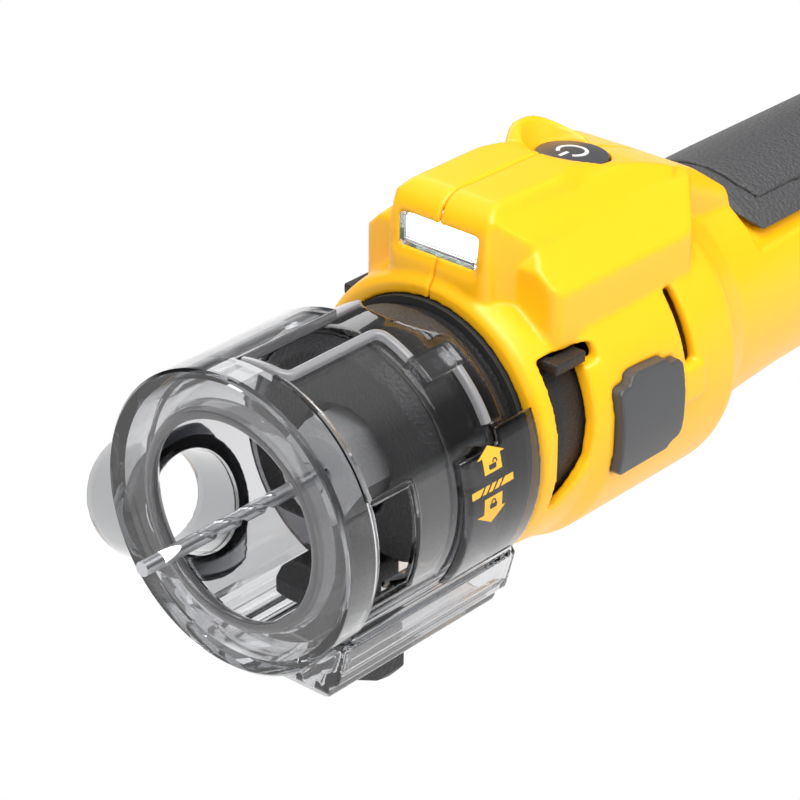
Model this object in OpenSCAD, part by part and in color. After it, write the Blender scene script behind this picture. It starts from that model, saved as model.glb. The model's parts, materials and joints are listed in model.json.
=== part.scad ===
// Cordless drywall cut out tool with a clear dust shroud.
// The spindle axis is the X axis and the bit points along -X.
// The origin is on that axis, in the plane of the shroud's front ring. +Z is up.
// Angles round the axis count from the near side (-Y) over the top (+Z).

/* [Bit and collet] */
// Diameter of the bit's shank
bit_d = 3.175; // [2.4:0.005:4.8]
// Length of the bit that stands out of the shroud
bit_reach = 23; // [14:0.5:30]
// Length of the plain guide point at the bit's tip
bit_point_l = 15; // [8:0.5:20]
// Length of the fluted part
bit_flute_l = 22; // [12:0.5:24]
// Width of the collet nut across its flats
nut_af = 18.6; // [17:0.1:20]
// Length of the collet nut
nut_l = 12; // [10:0.5:13]

/* [Dust shroud] */
// Outer radius of the shroud's front ring
ring_r = 32.5; // [31.5:0.1:34]
// Depth of the front ring's straight band
ring_l = 8.5; // [6:0.5:9.5]
// Radius of the hole that the bit comes through
ring_hole_r = 21.6; // [16:0.1:23]
// Outer radius of the depth guide's tube
guide_r = 30.7; // [30.5:0.1:31.2]
// Wall of the depth guide's tube
guide_wall = 1.7; // [1.4:0.1:1.8]
// Where the guide's tube ends at the rear
guide_end_x = 47; // [44:0.5:48]
// How far the guide slides forward
guide_travel = 10; // [4:0.5:12]
// Bearing of the spring tongue's near edge
tongue_from = 97; // [92:1:104]
// Bearing of the spring tongue's far edge
tongue_to = 150; // [120:1:156]
// Where the spring tongue ends
tongue_end_x = 37; // [32:0.5:42]
// Inner radius of the dust port
port_bore_r = 11; // [9:0.1:12]
// Wall of the dust port
port_wall = 3.2; // [1.2:0.1:4]
// How far the dust port reaches from the spindle axis
port_reach = 58; // [48:0.5:62]
// Depth of the rail channel below the axis
channel_z = 36.2; // [35.5:0.1:38]
// Width of the rail channel
channel_w = 52.2; // [50:0.2:54]
// Where the rail channel ends
channel_end_x = 59; // [54:0.5:59.5]
// Length of the twist lock's printed tab
tab_l = 23.3; // [20:0.1:26]
// Bearing of the tab's upper edge
tab_to = 25; // [18:1:27]
// Bearing of the tab's lower edge
tab_from = -37; // [-37:1:-30]
// Depth of the depth lock's thumb block below the axis
thumb_z = 52; // [48:0.5:54]
// Travel of the depth lock
lock_travel = 4; // [2:0.5:5]

/* [Nose] */
// Front face of the nose case
nose_x = 33.5; // [32:0.5:35]
// Radius of the nose case inside the shroud
nose_r = 26.5; // [26:0.1:26.6]
// Radius of the nose case's bell behind the collar
bell_r = 29.5; // [28.6:0.1:30.2]

/* [Head] */
// Front face of the collar
collar_x = 60.5; // [60.2:0.1:62]
// Outer radius of the collar
collar_r = 31.4; // [30:0.1:31.6]
// Radius of the body round the motor
body_r = 34.4; // [34:0.1:35.5]
// Wall of the housing
wall = 2.6; // [2:0.1:3]
// Height of the lamp tower above the body
tower_rise = 15.1; // [14:0.1:17.6]
// Width of the lamp tower at its front
tower_w = 26.8; // [25.6:0.2:30]
// Width across the shoulders
shoulder_w = 52.4; // [49:0.2:56]
// Width of the lamp window
lamp_w = 20; // [14:0.5:20.5]
// Height of the lamp window
lamp_h = 6.8; // [5:0.1:7.6]
// Radius of the power button
button_r = 7.9; // [6.5:0.1:8.4]
// Travel of the power button
button_travel = 1.2; // [0.6:0.1:1.3]
// Travel of the spindle lock plate to either side
plate_travel = 1.8; // [1:0.1:2.2]

/* [Motor] */
// Length of the stator's stack
stack_l = 17; // [14:0.5:18]
// Outer radius of the stator
stator_r = 28; // [26:0.1:28.5]
// Number of stator teeth
teeth = 9; // [9:3:12]
// Outer radius of the rotor's magnets
rotor_r = 13.6; // [12.5:0.1:13.9]
// Radius of the cooling fan
fan_r = 24; // [20:0.5:27]
// Number of fan blades
blades = 11; // [7:1:15]

/* [Handle] */
// Radius of the handle
handle_r = 26.2; // [25.6:0.1:27]
// Length of the handle between the head and the foot
handle_l = 106; // [96:1:116]
// Radius of the rubber grip
grip_r = 26.1; // [25.4:0.1:27]
// Width of the battery foot
foot_w = 64; // [60:1:68]

/* [Battery] */
// Radius of a cell
cell_r = 9.15; // [9:0.05:9.4]
// Length of a cell
cell_l = 65; // [62:0.5:66]
// Number of cells
cells = 5; // [5:1:5]
// Width of the battery pack
pack_w = 79; // [78:0.5:84]
// Depth of the battery pack below the axis
pack_bottom_z = 54; // [53:0.5:58]
// Travel of the battery pack as it is pulled off
pack_travel = 50; // [20:1:70]

/* [Hidden] */

round_fn = 96;
small_fn = 32;
seat = 0.3;      // space between pieces that are laid in place
running = 0.05;  // radial space of a running fit
touch = 0.02;    // space between pieces that are welded together
yellow = "#ffd21c";
black = "#26272a";
steel = "#c9ccd0";
clear = [0.72, 0.74, 0.78, 0.45];
smoke = [0.30, 0.31, 0.33, 0.6];

// Stations along the axis
nut_x = nose_x - 8;
bearing_x = nose_x + 10;
bearing_l = 8;
bearing_r = 14;
rear_bearing_l = 7;
rear_bearing_r = 11;
collar_l = 5;
bell_x = collar_x + collar_l + 0.5;
plate_x = bell_x + 1;
plate_l = 9.5;
board_x = plate_x + plate_l + 1.1;
bell_end_x = board_x + 2;
coil_end_l = 3;
stack_x = board_x + 1.4 + 1 + coil_end_l;
coil_end_x = stack_x + stack_l + coil_end_l;
baffle_x = coil_end_x + 0.4;
fan_x = baffle_x + 1.8;
fan_l = 6.5;
web_x = fan_x + fan_l + 4.4;
web_l = rear_bearing_l + 1.6;
handle_x = web_x + web_l + 21.4;
foot_x = handle_x + handle_l;
foot_l = 9.8;
foot_end_x = foot_x + foot_l;
rail_l = 6.2;
pack_x = foot_end_x + rail_l + seat;

// Heights of the tower
tower_z = body_r + tower_rise;
tower_x = collar_x + 1.5;
button_x = tower_x + 45;
button_z = tower_z - 4.2;
button_tilt = 5;
dish_z = button_z - 1.3;
flange_top_z = button_z - 5;
lamp_z = tower_z - 10.1;

function arc(cx, cy, r, a0, a1, n) = [for (i = [0:n]) let (a = a0 + (a1 - a0)
    * i / n) [cx + r * cos(a), cy + r * sin(a)]];
function band(r0, r1, x0, x1) = [[r0, x0], [r1, x0], [r1, x1], [r0, x1]];
function flip(points) = [for (i = [len(points) - 1:-1:0]) [-points[i][0], points[i][1]]];

// A solid of revolution about the spindle axis, from points of radius and x
module spun(points) {
    rotate([0, 90, 0]) rotate_extrude($fn = round_fn) polygon(points);
}

// The same, between two bearings round the axis
module sector(points, from, to) {
    rotate([0, 90, 0]) rotate([0, 0, -to - 90]) rotate_extrude(angle = to - from, $fn = round_fn)
        polygon(points);
}

module rod_x(r, x0, x1) {
    translate([x0, 0, 0]) rotate([0, 90, 0]) cylinder(r = r, h = x1 - x0, $fn = round_fn);
}

module rod_y(r, x, z, y0, y1) {
    translate([x, y1, z]) rotate([90, 0, 0]) cylinder(r = r, h = y1 - y0, $fn = small_fn);
}

// A block between two corners
module block(low, high) {
    translate(low) cube(high - low);
}

// Prisms of an outline in XZ along Y, in YZ along X, and in XY along Z
module side_prism(points, y0, y1) {
    translate([0, y1, 0]) rotate([90, 0, 0]) linear_extrude(y1 - y0) polygon(points);
}

module cross_prism(points, x0, x1) {
    translate([x0, 0, 0]) rotate([90, 0, 90]) linear_extrude(x1 - x0) polygon(points);
}

module plan_prism(points, z0, z1) {
    translate([0, 0, z0]) linear_extrude(z1 - z0) polygon(points);
}

// An outline of a rectangle with round corners, between two corners
function rounded(low, high, r) = concat(
    arc(high[0] - r, high[1] - r, r, 0, 90, 5), arc(low[0] + r, high[1] - r, r, 90, 180, 5),
    arc(low[0] + r, low[1] + r, r, 180, 270, 5), arc(high[0] - r, low[1] + r, r, 270, 360, 5));

// A coil spring along Z, as one six-sided tube
module coil(r, wire_r, turns, height) {
    sides = 6;
    rings = 12 * turns;
    points = [for (i = [0:rings]) let (a = 360 * turns * i / rings) for (j = [0:sides - 1])
        let (b = 360 * j / sides, reach = r + wire_r * cos(b))
        [reach * cos(a), reach * sin(a), wire_r + (height - 2 * wire_r) * i / rings + wire_r * sin(b)]];
    skin = [for (i = [0:rings - 1]) for (j = [0:sides - 1])
        let (k = (j + 1) % sides, low = i * sides, high = low + sides)
        each [[low + j, low + k, high + k], [low + j, high + k, high + j]]];
    ends = [[for (j = [sides - 1:-1:0]) j], [for (j = [0:sides - 1]) rings * sides + j]];
    polyhedron(points, concat(skin, ends));
}

// Housing: a turned body, a lamp tower over it, sloping shoulders and a battery foot
function body_outline() = [
    [0, collar_x], [collar_r - 1.6, collar_x], [collar_r, collar_x + 1.2], [collar_r + 0.6, bell_x - 1],
    [collar_r + 1, bell_x + 4], [body_r - 1.6, bell_x + 9], [body_r, bell_x + 14], [body_r, web_x + 5.4],
    [body_r - 0.8, web_x + 7.6], [body_r - 4, web_x + 10.6], [handle_r + 1.8, handle_x - 12],
    [handle_r + 0.8, handle_x], [handle_r, handle_x + 16], [handle_r - 0.4, foot_x - 25],
        [handle_r + 0.5, foot_x - 6],
    [handle_r + 2.6, foot_x + 2], [0, foot_x + 2]];

function body_hollow() = [
    [0, bell_x - 3], [bell_r + seat, bell_x - 0.5], [bell_r + seat, bell_end_x],
        [body_r - wall, bell_end_x],
    [body_r - wall, web_x], [0, web_x]];

function handle_hollow() = [
    [0, web_x + web_l], [body_r - 8, web_x + web_l], [handle_r - wall - 0.8, handle_x - 10],
        [grip_core_r - wall, handle_x],
    [grip_core_r - wall, foot_x - 2], [0, foot_x - 2]];

// The tower's roof from front to rear, as x and height
roof = [
    [button_x - 12, tower_z - 0.9],
    [button_x + 7.5, tower_z - 5.6],
    [button_x + 14, tower_z - 7.7],
    [button_x + 21, tower_z - 10.5],
    [handle_x - 8, tower_z - 15.7],
    [handle_x + 1, tower_z - 22.5],
    [handle_x + 4, tower_z - 29.5]];

// Side view of the tower, from its front face over the rounded brow and down to the handle
function tower_side() = concat(
    [[handle_x + 4, 12], [tower_x, 12], [tower_x, tower_z - 17.5]],
    arc(tower_x + 8.1, tower_z - 7, 6.6, 172, 96, 6),
    roof);

function tower_section() =
    let (half = concat([[tower_w / 2 + 0.4, -2], [tower_w / 2, tower_z - 16]],
        arc(tower_w / 2 - 4.8, tower_z - 4.2, 4.2, 10, 90, 5)))
    concat(half, flip(half));

// Mirrors half an outline across the tool's middle plane
function both_sides(half) = concat(half, [for (i = [len(half) - 1:-1:0]) [half[i][0], -half[i][1]]]);

// Rounds the long edges of a stretch of roof that slopes down from a point at x and z
module crown(x, z, slope, edge_r) {
    w = tower_w / 2 + 0.5;
    half = concat([[w + 2, -70], [w, -edge_r]], arc(w - edge_r, -edge_r, edge_r, 10, 90, 6));
    translate([x, 0, z]) rotate([0, slope, 0]) cross_prism(concat(half, flip(half)), -90, 90);
}

module lamp_tower() {
    corner_y = tower_w / 2 - 3.4;
    intersection() {
        cross_prism(tower_section(), tower_x - 1, handle_x + 6);
        crown(button_x - 12, tower_z - 0.5, 13.6, 7.5);
        crown(button_x + 14, tower_z - 6.9, 25, 8);
        plan_prism(concat(arc(tower_x + 4, corner_y, 4, 90, 180, 4),
            arc(tower_x + 4, -corner_y, 4, 180, 270, 4),
            [[handle_x + 7, -tower_w / 2 - 1], [handle_x + 7, tower_w / 2 + 1]]), -3, tower_z + 2);
    }
}

shoulder_x = bell_x + 3.4;
shoulder_tilt = 1;
flank_y = shoulder_w / 2 - 8.3;
flank_tilt = 2.6;

module tilted(x, angle) {
    translate([x, 0, 0]) rotate([0, angle, 0]) translate([-x, 0, 0]) children();
}

function shoulder_section() =
    let (w = shoulder_w / 2)
    let (half = [[w, 0], [w, tower_z - 17.6], [w - 0.5, tower_z - 16.4], [w - 1.6, tower_z - 15.6],
        [flank_y, tower_z - 9.2], [6, tower_z - 9]])
    concat(half, flip(half));

function shoulder_plan() =
    let (w = shoulder_w / 2, x0 = shoulder_x)
    both_sides([[x0, 0], [x0, w - 7], [x0 + 0.3, w - 3], [x0 + 1, w - 1.2], [x0 + 2.4, w - 0.2],
        [x0 + 4, w + 0.3], [web_x - 2, w + 0.3], [web_x + 1, w - 1.4], [web_x + 19, 9], [handle_x, 6],
        [handle_x, 0]]);

module shoulders() {
    intersection() {
        tilted(tower_x + 4, shoulder_tilt) cross_prism(shoulder_section(), tower_x - 10, handle_x + 20);
        plan_prism(shoulder_plan(), -3, tower_z + 1);
        side_prism([[shoulder_x - 1, -4], [shoulder_x - 1, tower_z - 14.2],
            [shoulder_x + 4.6, tower_z - 8.4], [handle_x + 1, tower_z - 8.4], [handle_x + 1, -4]],
            -shoulder_w, shoulder_w);
    }
}

// The flanks lead from the roof's edges down to the shoulders
module flanks() {
    half = [[flank_y, 1], [flank_y, tower_z - 8.5], [tower_w / 2 - 1.2, tower_z - 2.3]];
    intersection() {
        tilted(shoulder_x, flank_tilt) cross_prism(concat(half, flip(half)), tower_x - 10, handle_x + 20);
        plan_prism(both_sides([[tower_x + 1, 0], [tower_x + 1, tower_w / 2 - 3],
            [tower_x + 2.4, tower_w / 2 - 1], [shoulder_x + 3.4, flank_y + 0.6], [web_x, flank_y + 0.6],
            [web_x + 15, tower_w / 2 - 2], [web_x + 15, 0]]), -4, tower_z + 3);
    }
}

module tower() {
    intersection() {
        side_prism(tower_side(), -shoulder_w, shoulder_w);
        union() {
            lamp_tower();
            flanks();
            shoulders();
        }
    }
}

foot_low = -33;
foot_high = 27;
head_half = foot_w / 2 - 4.5;

module foot() {
    cross_prism(rounded([-foot_w / 2, foot_low], [foot_w / 2, foot_high], 9), foot_x, foot_end_x);
    block([foot_end_x - 1, seat + 3.4 - head_half, foot_low + 2],
        [foot_end_x + 3.4, head_half - 3.4 - seat, foot_high - 2]);
    block([foot_end_x + 3.1, -head_half, foot_low + 2], [foot_end_x + rail_l, head_half, foot_high - 2]);
}

// The thumb guard is a hump on the far side of the power button
module thumb_guard() {
    hump_r = 14;
    difference() {
        intersection() {
            rod_y(hump_r, button_x - 2, tower_z + 0.3 - hump_r, 3, tower_w / 2 - 0.4);
            translate([button_x - 1, 0, flange_top_z + seat])
                cylinder(r = button_r + 5.6, h = 12, $fn = round_fn);
        }
        button_dish();
    }
}

// The dish that the power button lies in, with the hole for its shaft
module button_dish() {
    translate([button_x, 0, flange_top_z - 1]) cylinder(r = button_r + seat, h = 12, $fn = round_fn);
    translate([button_x, 0, dish_z])
        cylinder(r1 = button_r + 0.6, r2 = button_r + 4.8, h = 8, $fn = round_fn);
}

module housing_outer() {
    spun(body_outline());
    tower();
    foot();
    vent_ribs();
}

module vent_ribs() {
    for (side = [0, 1]) mirror([0, side, 0])
        sector(band(body_r - 1, body_r + 1.3, bell_x + 36, vent_x + 6), -2, 10.5);
}

vent_x = fan_x - 0.8;
gap_to = 36;
gap_from = -25;

// Outline of a side pad, seen from the side, with its stepped corners
function pad_outline(grow) = let (x0 = bell_x + 14.6 - grow, x1 = bell_x + 35.8 + grow,
    z0 = -9.6 - grow, z1 = 12.4 + grow)
    [[x0, z0 + 1], [x0 + 1, z0], [x1 - 4.4, z0], [x1 - 3.2, z0 + 1.4], [x1 - 1.2, z0 + 1.8],
        [x1 - 0.2, z0 + 3.2], [x1, z1 - 3.4],
    [x1 - 1, z1 - 2.2], [x1 - 3.8, z1 - 2.2], [x1 - 5, z1 - 0.8], [x0 + 6.4, z1 - 0.2],
        [x0 + 4.8, z1 - 0.6], [x0 + 3.4, z1 - 2.2],
    [x0 + 1, z1 - 2.2], [x0, z1 - 3.2]];

// Screws run along Y: where each one stands, in x and z
screw_spots = [[tower_x + 22, tower_z - 11.5], [web_x + 4.3, 22], [web_x + 4.3, -22],
    [handle_x + 4, -17], [foot_x - 18, -16],
    [foot_x + 4.6, foot_high - 7], [foot_x + 4.6, foot_low + 7]];
screw_r = 1.35;
screw_head_r = 2.7;
screw_head_y = 6;
screw_tip_y = -9;
boss_r = 3.6;

module housing_hollows() {
    spun(band(0, nose_r + 0.7, collar_x - 1, bell_x));
    spun(body_hollow());
    spun(handle_hollow());
    tower_hollow();
    block([foot_x - 4, -foot_w / 2 + 6, foot_low + wall + 1],
        [foot_end_x - 2.8, foot_w / 2 - 6, foot_high - wall - 1]);
    spun(band(0, rear_bearing_r + 0.02, web_x - 1, web_x + rear_bearing_l));
    spun(band(0, rear_bearing_r - 3, web_x, web_x + web_l + 1));
    for (side = [-1, 1]) rod_x_at(5.5, side * (rear_bearing_r + 9.5), 0, web_x - 1, web_x + web_l + 1);
}

// Room for lamp board, switch and wires under the tower's roof
module tower_hollow() {
    inner_y = tower_w / 2 - wall + 0.5;
    half = [[inner_y - 0.2, 15], [inner_y - 0.2, tower_z - 11.5], [inner_y - 3.5, tower_z - 5]];
    block([tower_x + wall + 0.8, -inner_y, 18], [button_x - 12.5, inner_y, tower_z - 1.1 - wall]);
    intersection() {
        cross_prism(concat(half, flip(half)), button_x - 15, web_x + 4);
        side_prism([[button_x - 14, 17], [button_x - 14, tower_z - 1.3 - wall],
            [button_x - 12, tower_z - 1.3 - wall], [button_x + 7, tower_z - 5.9 - wall],
            [web_x + 2, tower_z - 7.1 - wall], [web_x + 2, 17]], -tower_w, tower_w);
    }
}

module rod_x_at(r, y, z, x0, x1) {
    translate([0, y, z]) rod_x(r, x0, x1);
}

// Openings that go through the housing's skin
module housing_windows() {
    for (side = [0, 1]) mirror([0, side, 0]) {
        side_prism([[bell_x - 1, 6 - bell_r * 0.62], [bell_x + 0.6, 1.4 - bell_r / 2],
            [bell_x + 4.4, 5 - bell_r / 2], [bell_x + 8.4, -4],
            [bell_x + 9.6, 4], [bell_x + 9.9, 15.8], [plate_x + plate_l + 3.2, 16.2],
                [plate_x + plate_l + 3.2, 19.8], [bell_x - 1, 19.8]],
            -body_r - 8, -nose_r + 6);
        sector(band(body_r - wall - 1, body_r + 3, vent_x + 1, vent_x + 4), 11.5, 40);
        intersection() {
            side_prism(pad_outline(0.1), -body_r - 5, -10);
            spun(band(body_r - 1.05, body_r + 5, bell_x, vent_x - 1));
        }
        for (x = [foot_x - 14, foot_x - 10, foot_x - 6])
            sector(band(handle_r - 6, handle_r + 4, x, x + 1.8), -25, 12);
    }
    // Lamp window with its outer bevel
    block([tower_x - 2, -lamp_w / 2 - 0.15, lamp_z - lamp_h / 2 - 0.15],
        [tower_x + wall + 3, lamp_w / 2 + 0.15, lamp_z + lamp_h / 2 + 0.15]);
    block([tower_x - 2, -lamp_w / 2 - 1.4, lamp_z - lamp_h / 2 - 1.6],
        [tower_x + 0.9, lamp_w / 2 + 1.4, lamp_z + lamp_h / 2 + 1.2]);
    // Power button
    button_dish();
    // Recess under the rubber grip
    intersection() {
        spun(band(grip_core_r, handle_r + 6, handle_x + 0.6, foot_x - 3));
        block([handle_x, -handle_r, grip_edge_z - 2.4], [foot_x, handle_r, handle_r + 8]);
    }
    // Battery terminals
    block([foot_end_x - 4, -16.3, -4.3], [foot_end_x + rail_l + 1, 16.3, 18.3]);
    // Catch for the battery latch, open below so that the pack can slide off
    block([foot_end_x + 2, -8.5, foot_low - 1], [foot_end_x + rail_l + 1, 8.5, foot_low + 11]);
}

// Ribs and bosses inside the housing, cut to its outer form
module housing_ribs() {
    intersection() {
        union() {
            spun([[rear_bearing_r + 0.02, web_x], [body_r - 0.5, web_x], [body_r - 3, web_x + web_l],
                [rear_bearing_r - 3, web_x + web_l],
                [rear_bearing_r - 3, web_x + rear_bearing_l],
                    [rear_bearing_r + 0.02, web_x + rear_bearing_l]]);
            for (i = [0:5]) rotate([60 * i, 0, 0])
                block([stack_x, stator_r + 0.1, -1.5], [stack_x + stack_l, body_r - 1, 1.5]);
            for (spot = screw_spots) rod_y(boss_r, spot[0], spot[1], -40, 40);
            for (x = [handle_x + 12, foot_x - 30])
                block([x, -handle_r + 1, -9.9], [x + 3, handle_r - 1, -6.7]);
            translate([button_x, 0, flange_top_z + seat])
                cylinder(r = button_r + 2.6, h = 6, $fn = round_fn);
            for (side = [-1, 1]) block([button_x - 11, side * (tower_w / 2 - 3) - 2, tower_z - 19],
                [button_x + 11, side * (tower_w / 2 - 3) + 2, tower_z - 18.1]);
            block([foot_end_x - 4, -20, -8], [foot_end_x, 20, 22]);
        }
        union() {
            spun(body_outline());
            tower();
            foot();
        }
    }
}

module housing_screw_holes() {
    for (spot = screw_spots) {
        rod_y(screw_r, spot[0], spot[1], screw_tip_y - 1.5, screw_head_y);
        rod_y(screw_head_r + 0.25, spot[0], spot[1], screw_head_y, 45);
    }
}

module housing_half(side) {
    intersection() {
        difference() {
            union() {
                difference() {
                    housing_outer();
                    housing_hollows();
                }
                housing_ribs();
            }
            housing_windows();
            housing_screw_holes();
            block([handle_x + 11, -11, -12], [foot_x - 26, 11, -5]);
        }
        mirror([0, side > 0 ? 0 : 1, 0]) block([collar_x - 5, 0.06, -60], [foot_end_x + 20, 60, 70]);
    }
}

module housing_left() {
    color(yellow) housing_half(-1);
}

module housing_right() {
    color(yellow) union() {
        housing_half(1);
        thumb_guard();
    }
}

module housing_screws() {
    color("#55585c") for (spot = screw_spots) {
        rod_y(screw_r - 0.05, spot[0], spot[1], screw_tip_y, screw_head_y + 0.2);
        difference() {
            rod_y(screw_head_r, spot[0], spot[1], screw_head_y, screw_head_y + 1.9);
            translate([spot[0] - 0.4, screw_head_y + 1, spot[1] - 1.4]) cube([0.8, 2, 2.8]);
            translate([spot[0] - 1.4, screw_head_y + 1, spot[1] - 0.4]) cube([2.8, 2, 0.8]);
        }
    }
}

// Nose: the bearing carrier, flat underneath to let the dust past, and a bell that the collar holds
module nose_case() {
    color(black) difference() {
        spun([[12.4, nose_x], [nose_r - 3, nose_x], [nose_r, nose_x + 3], [nose_r, collar_x - 3.5],
            [nose_r - 1.1, collar_x - 3],
            [nose_r - 1.1, bell_x - 1.6], [nose_r + 0.3, bell_x - 1.2], [nose_r + 0.3, bell_x - 0.4],
                [bell_r - 1.4, bell_x + 1],
            [bell_r - 0.3, bell_x + 4], [bell_r, bell_x + 8], [bell_r, bell_end_x - 0.4],
                [bell_r - wall, bell_end_x - 0.4],
            [bell_r - wall, bell_x + 0.8], [nose_r - 5, bell_x - 5],
                [nose_r - 8, bearing_x + bearing_l + 0.4],
            [bearing_r + 0.02, bearing_x + bearing_l + 0.4], [bearing_r + 0.02, bearing_x],
                [12.4, bearing_x]]);
        block([nose_x - 1, -30, -nose_r - 2], [collar_x - 5, 30, -17]);
        block([plate_x - seat, -40, 16.5], [plate_x + plate_l + seat, 40, 19.5]);
    }
}

module collar_seal() {
    color("#15161a") spun(band(nose_r - 1, nose_r + 0.6, collar_x - 1, bell_x - 2));
}

// Bearings
function ball_track(r, bore) = bore + 0.46 * (r - bore);

module bearing_outer(x, l, r, bore) {
    difference() {
        spun(band(ball_track(r, bore) + 1.2, r, x, x + l));
        translate([x + l / 2, 0, 0]) rotate([0, 90, 0]) rotate_extrude($fn = round_fn)
            translate([ball_track(r, bore), 0]) circle(r = bearing_ball_r + running, $fn = small_fn);
    }
}

module bearing_inner(x, l, r, bore) {
    difference() {
        spun(band(bore, ball_track(r, bore) - 1.2, x, x + l));
        translate([x + l / 2, 0, 0]) rotate([0, 90, 0]) rotate_extrude($fn = round_fn)
            translate([ball_track(r, bore), 0]) circle(r = bearing_ball_r + running, $fn = small_fn);
    }
}

bearing_ball_r = 1.75;
bearing_bore_r = 6;
rear_bore_r = 4;

module balls(x, l, r, bore, count) {
    for (i = [0:count - 1]) rotate([360 * i / count, 0, 0]) translate([x + l / 2, 0, ball_track(r, bore)])
        sphere(r = bearing_ball_r, $fn = 24);
}

module front_bearing_outer() {
    color(steel) bearing_outer(bearing_x, bearing_l, bearing_r, bearing_bore_r);
}

module rear_bearing_outer() {
    color(steel) bearing_outer(web_x, rear_bearing_l, rear_bearing_r, rear_bore_r);
}

module front_bearing_inner() {
    color(steel) bearing_inner(bearing_x, bearing_l, bearing_r, bearing_bore_r);
}

module rear_bearing_inner() {
    color(steel) bearing_inner(web_x, rear_bearing_l, rear_bearing_r, rear_bore_r);
}

module bearing_balls() {
    color(steel) {
        balls(bearing_x, bearing_l, bearing_r, bearing_bore_r, 9);
        balls(web_x, rear_bearing_l, rear_bearing_r, rear_bore_r, 7);
    }
}

// Motor
air_gap = 0.5;

module stator_core() {
    color("#7d828a") translate([stack_x, 0, 0]) rotate([0, 90, 0]) linear_extrude(stack_l) difference() {
        union() {
            difference() {
                circle(r = stator_r, $fn = round_fn);
                circle(r = stator_r - 4, $fn = round_fn);
            }
            for (i = [0:teeth - 1]) rotate(360 / teeth * i)
                translate([rotor_r + air_gap, -20 / teeth])
                    square([stator_r - rotor_r - air_gap - 3.8, 40 / teeth]);
            difference() {
                circle(r = rotor_r + air_gap + 1.2, $fn = round_fn);
                for (i = [0:teeth - 1]) rotate(360 / teeth * (i + 0.5)) translate([0, -1.2])
                    square([stator_r, 2.4]);
            }
        }
        circle(r = rotor_r + air_gap, $fn = round_fn);
    }
}

module stator_windings() {
    low = rotor_r + air_gap + 1.6;
    high = stator_r - 4.3;
    color("#b8622b") for (i = [0:teeth - 1]) rotate([360 / teeth * i, 0, 0]) difference() {
        block([stack_x - coil_end_l + 0.4, -38 / teeth, -high],
            [stack_x + stack_l + coil_end_l - 0.4, 38 / teeth, -low]);
        block([stack_x - 0.05, -20 / teeth - 0.05, -high - 1],
            [stack_x + stack_l + 0.05, 20 / teeth + 0.05, 1 - low]);
    }
}

module rotor_core() {
    color("#8b9097") spun(band(5, rotor_r - 2, stack_x, stack_x + stack_l));
}

module rotor_magnets() {
    color("#3c3f45") for (i = [0:5])
        sector(band(rotor_r - 2, rotor_r, stack_x, stack_x + stack_l), 60 * i + 2, 60 * i + 58);
}

module sensor_board() {
    color("#1d5b3a") difference() {
        spun(band(9, bell_r - wall - seat, board_x, board_x + 1.4));
        for (i = [0:2]) rotate([120 * i, 0, 0])
            rod_x_at(1.6, 0, bell_r - wall - 4, board_x - 1, board_x + 3);
    }
}

module fan_baffle() {
    color(black) spun([[stator_r - 12, baffle_x], [body_r - wall - seat, baffle_x],
        [body_r - wall - seat, baffle_x + 1],
        [stator_r - 12, baffle_x + 1]]);
}

module cooling_fan() {
    color("#303236") {
        spun([[5, fan_x], [8, fan_x], [9, fan_x + fan_l - 1.2], [fan_r, fan_x + fan_l - 1.2],
            [fan_r, fan_x + fan_l], [5, fan_x + fan_l]]);
        for (i = [0:blades - 1]) rotate([360 / blades * i, 0, 0]) translate([fan_x, 0, 7.5])
            rotate([28, 0, 0])
            translate([0, -0.5, 0]) cube([fan_l - 1, 1, fan_r - 9.5]);
    }
}

// Spindle: it carries the rotor and, at its nose, the collet's taper
spindle_nose_x = nut_x + 3.6;
spindle_nose_r = 7.2;

module spindle() {
    flats_x = plate_x + 2.8;
    color(steel) difference() {
        spun([[0, bearing_x + 8], [bit_d / 2 + 0.4, bearing_x + 8], [bit_d / 2 + 0.4, nut_x + 15],
            [bit_d / 2 + 2.5, nut_x + 13.6],
            [4.9, spindle_nose_x], [spindle_nose_r, spindle_nose_x], [spindle_nose_r, nut_x + nut_l + 2],
            [8.4, nut_x + nut_l + 2], [8.4, bearing_x], [bearing_bore_r, bearing_x],
                [bearing_bore_r, bearing_x + bearing_l + 4],
            [6.5, bearing_x + bearing_l + 6], [6.5, stack_x - 2], [5, stack_x - 2],
                [5, fan_x + fan_l + 0.2],
            [rear_bore_r, fan_x + fan_l + 0.2], [rear_bore_r, web_x + rear_bearing_l + 0.4],
                [0, web_x + rear_bearing_l + 0.4]]);
        for (turn = [0:90:270]) rotate([turn, 0, 0]) block([flats_x, -10, 4.5], [flats_x + 5, 10, 9.5]);
    }
}

// Collet: a slotted sleeve between two tapers
module collet() {
    color("#aeb2b8") difference() {
        spun([[bit_d / 2 + 0.02, nut_x + 0.8], [bit_d / 2 + 1.6, nut_x + 0.8], [5.1, nut_x + 3.4],
            [4.8, nut_x + 4.4],
            [bit_d / 2 + 2.3, nut_x + 13.4], [bit_d / 2 + 0.02, nut_x + 13.4]]);
        for (i = [0:3]) rotate([90 * i + 45, 0, 0])
            block([nut_x - 1, bit_d / 2 - 0.3, -0.3], [nut_x + 11, 7, 0.3]);
    }
}

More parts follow.
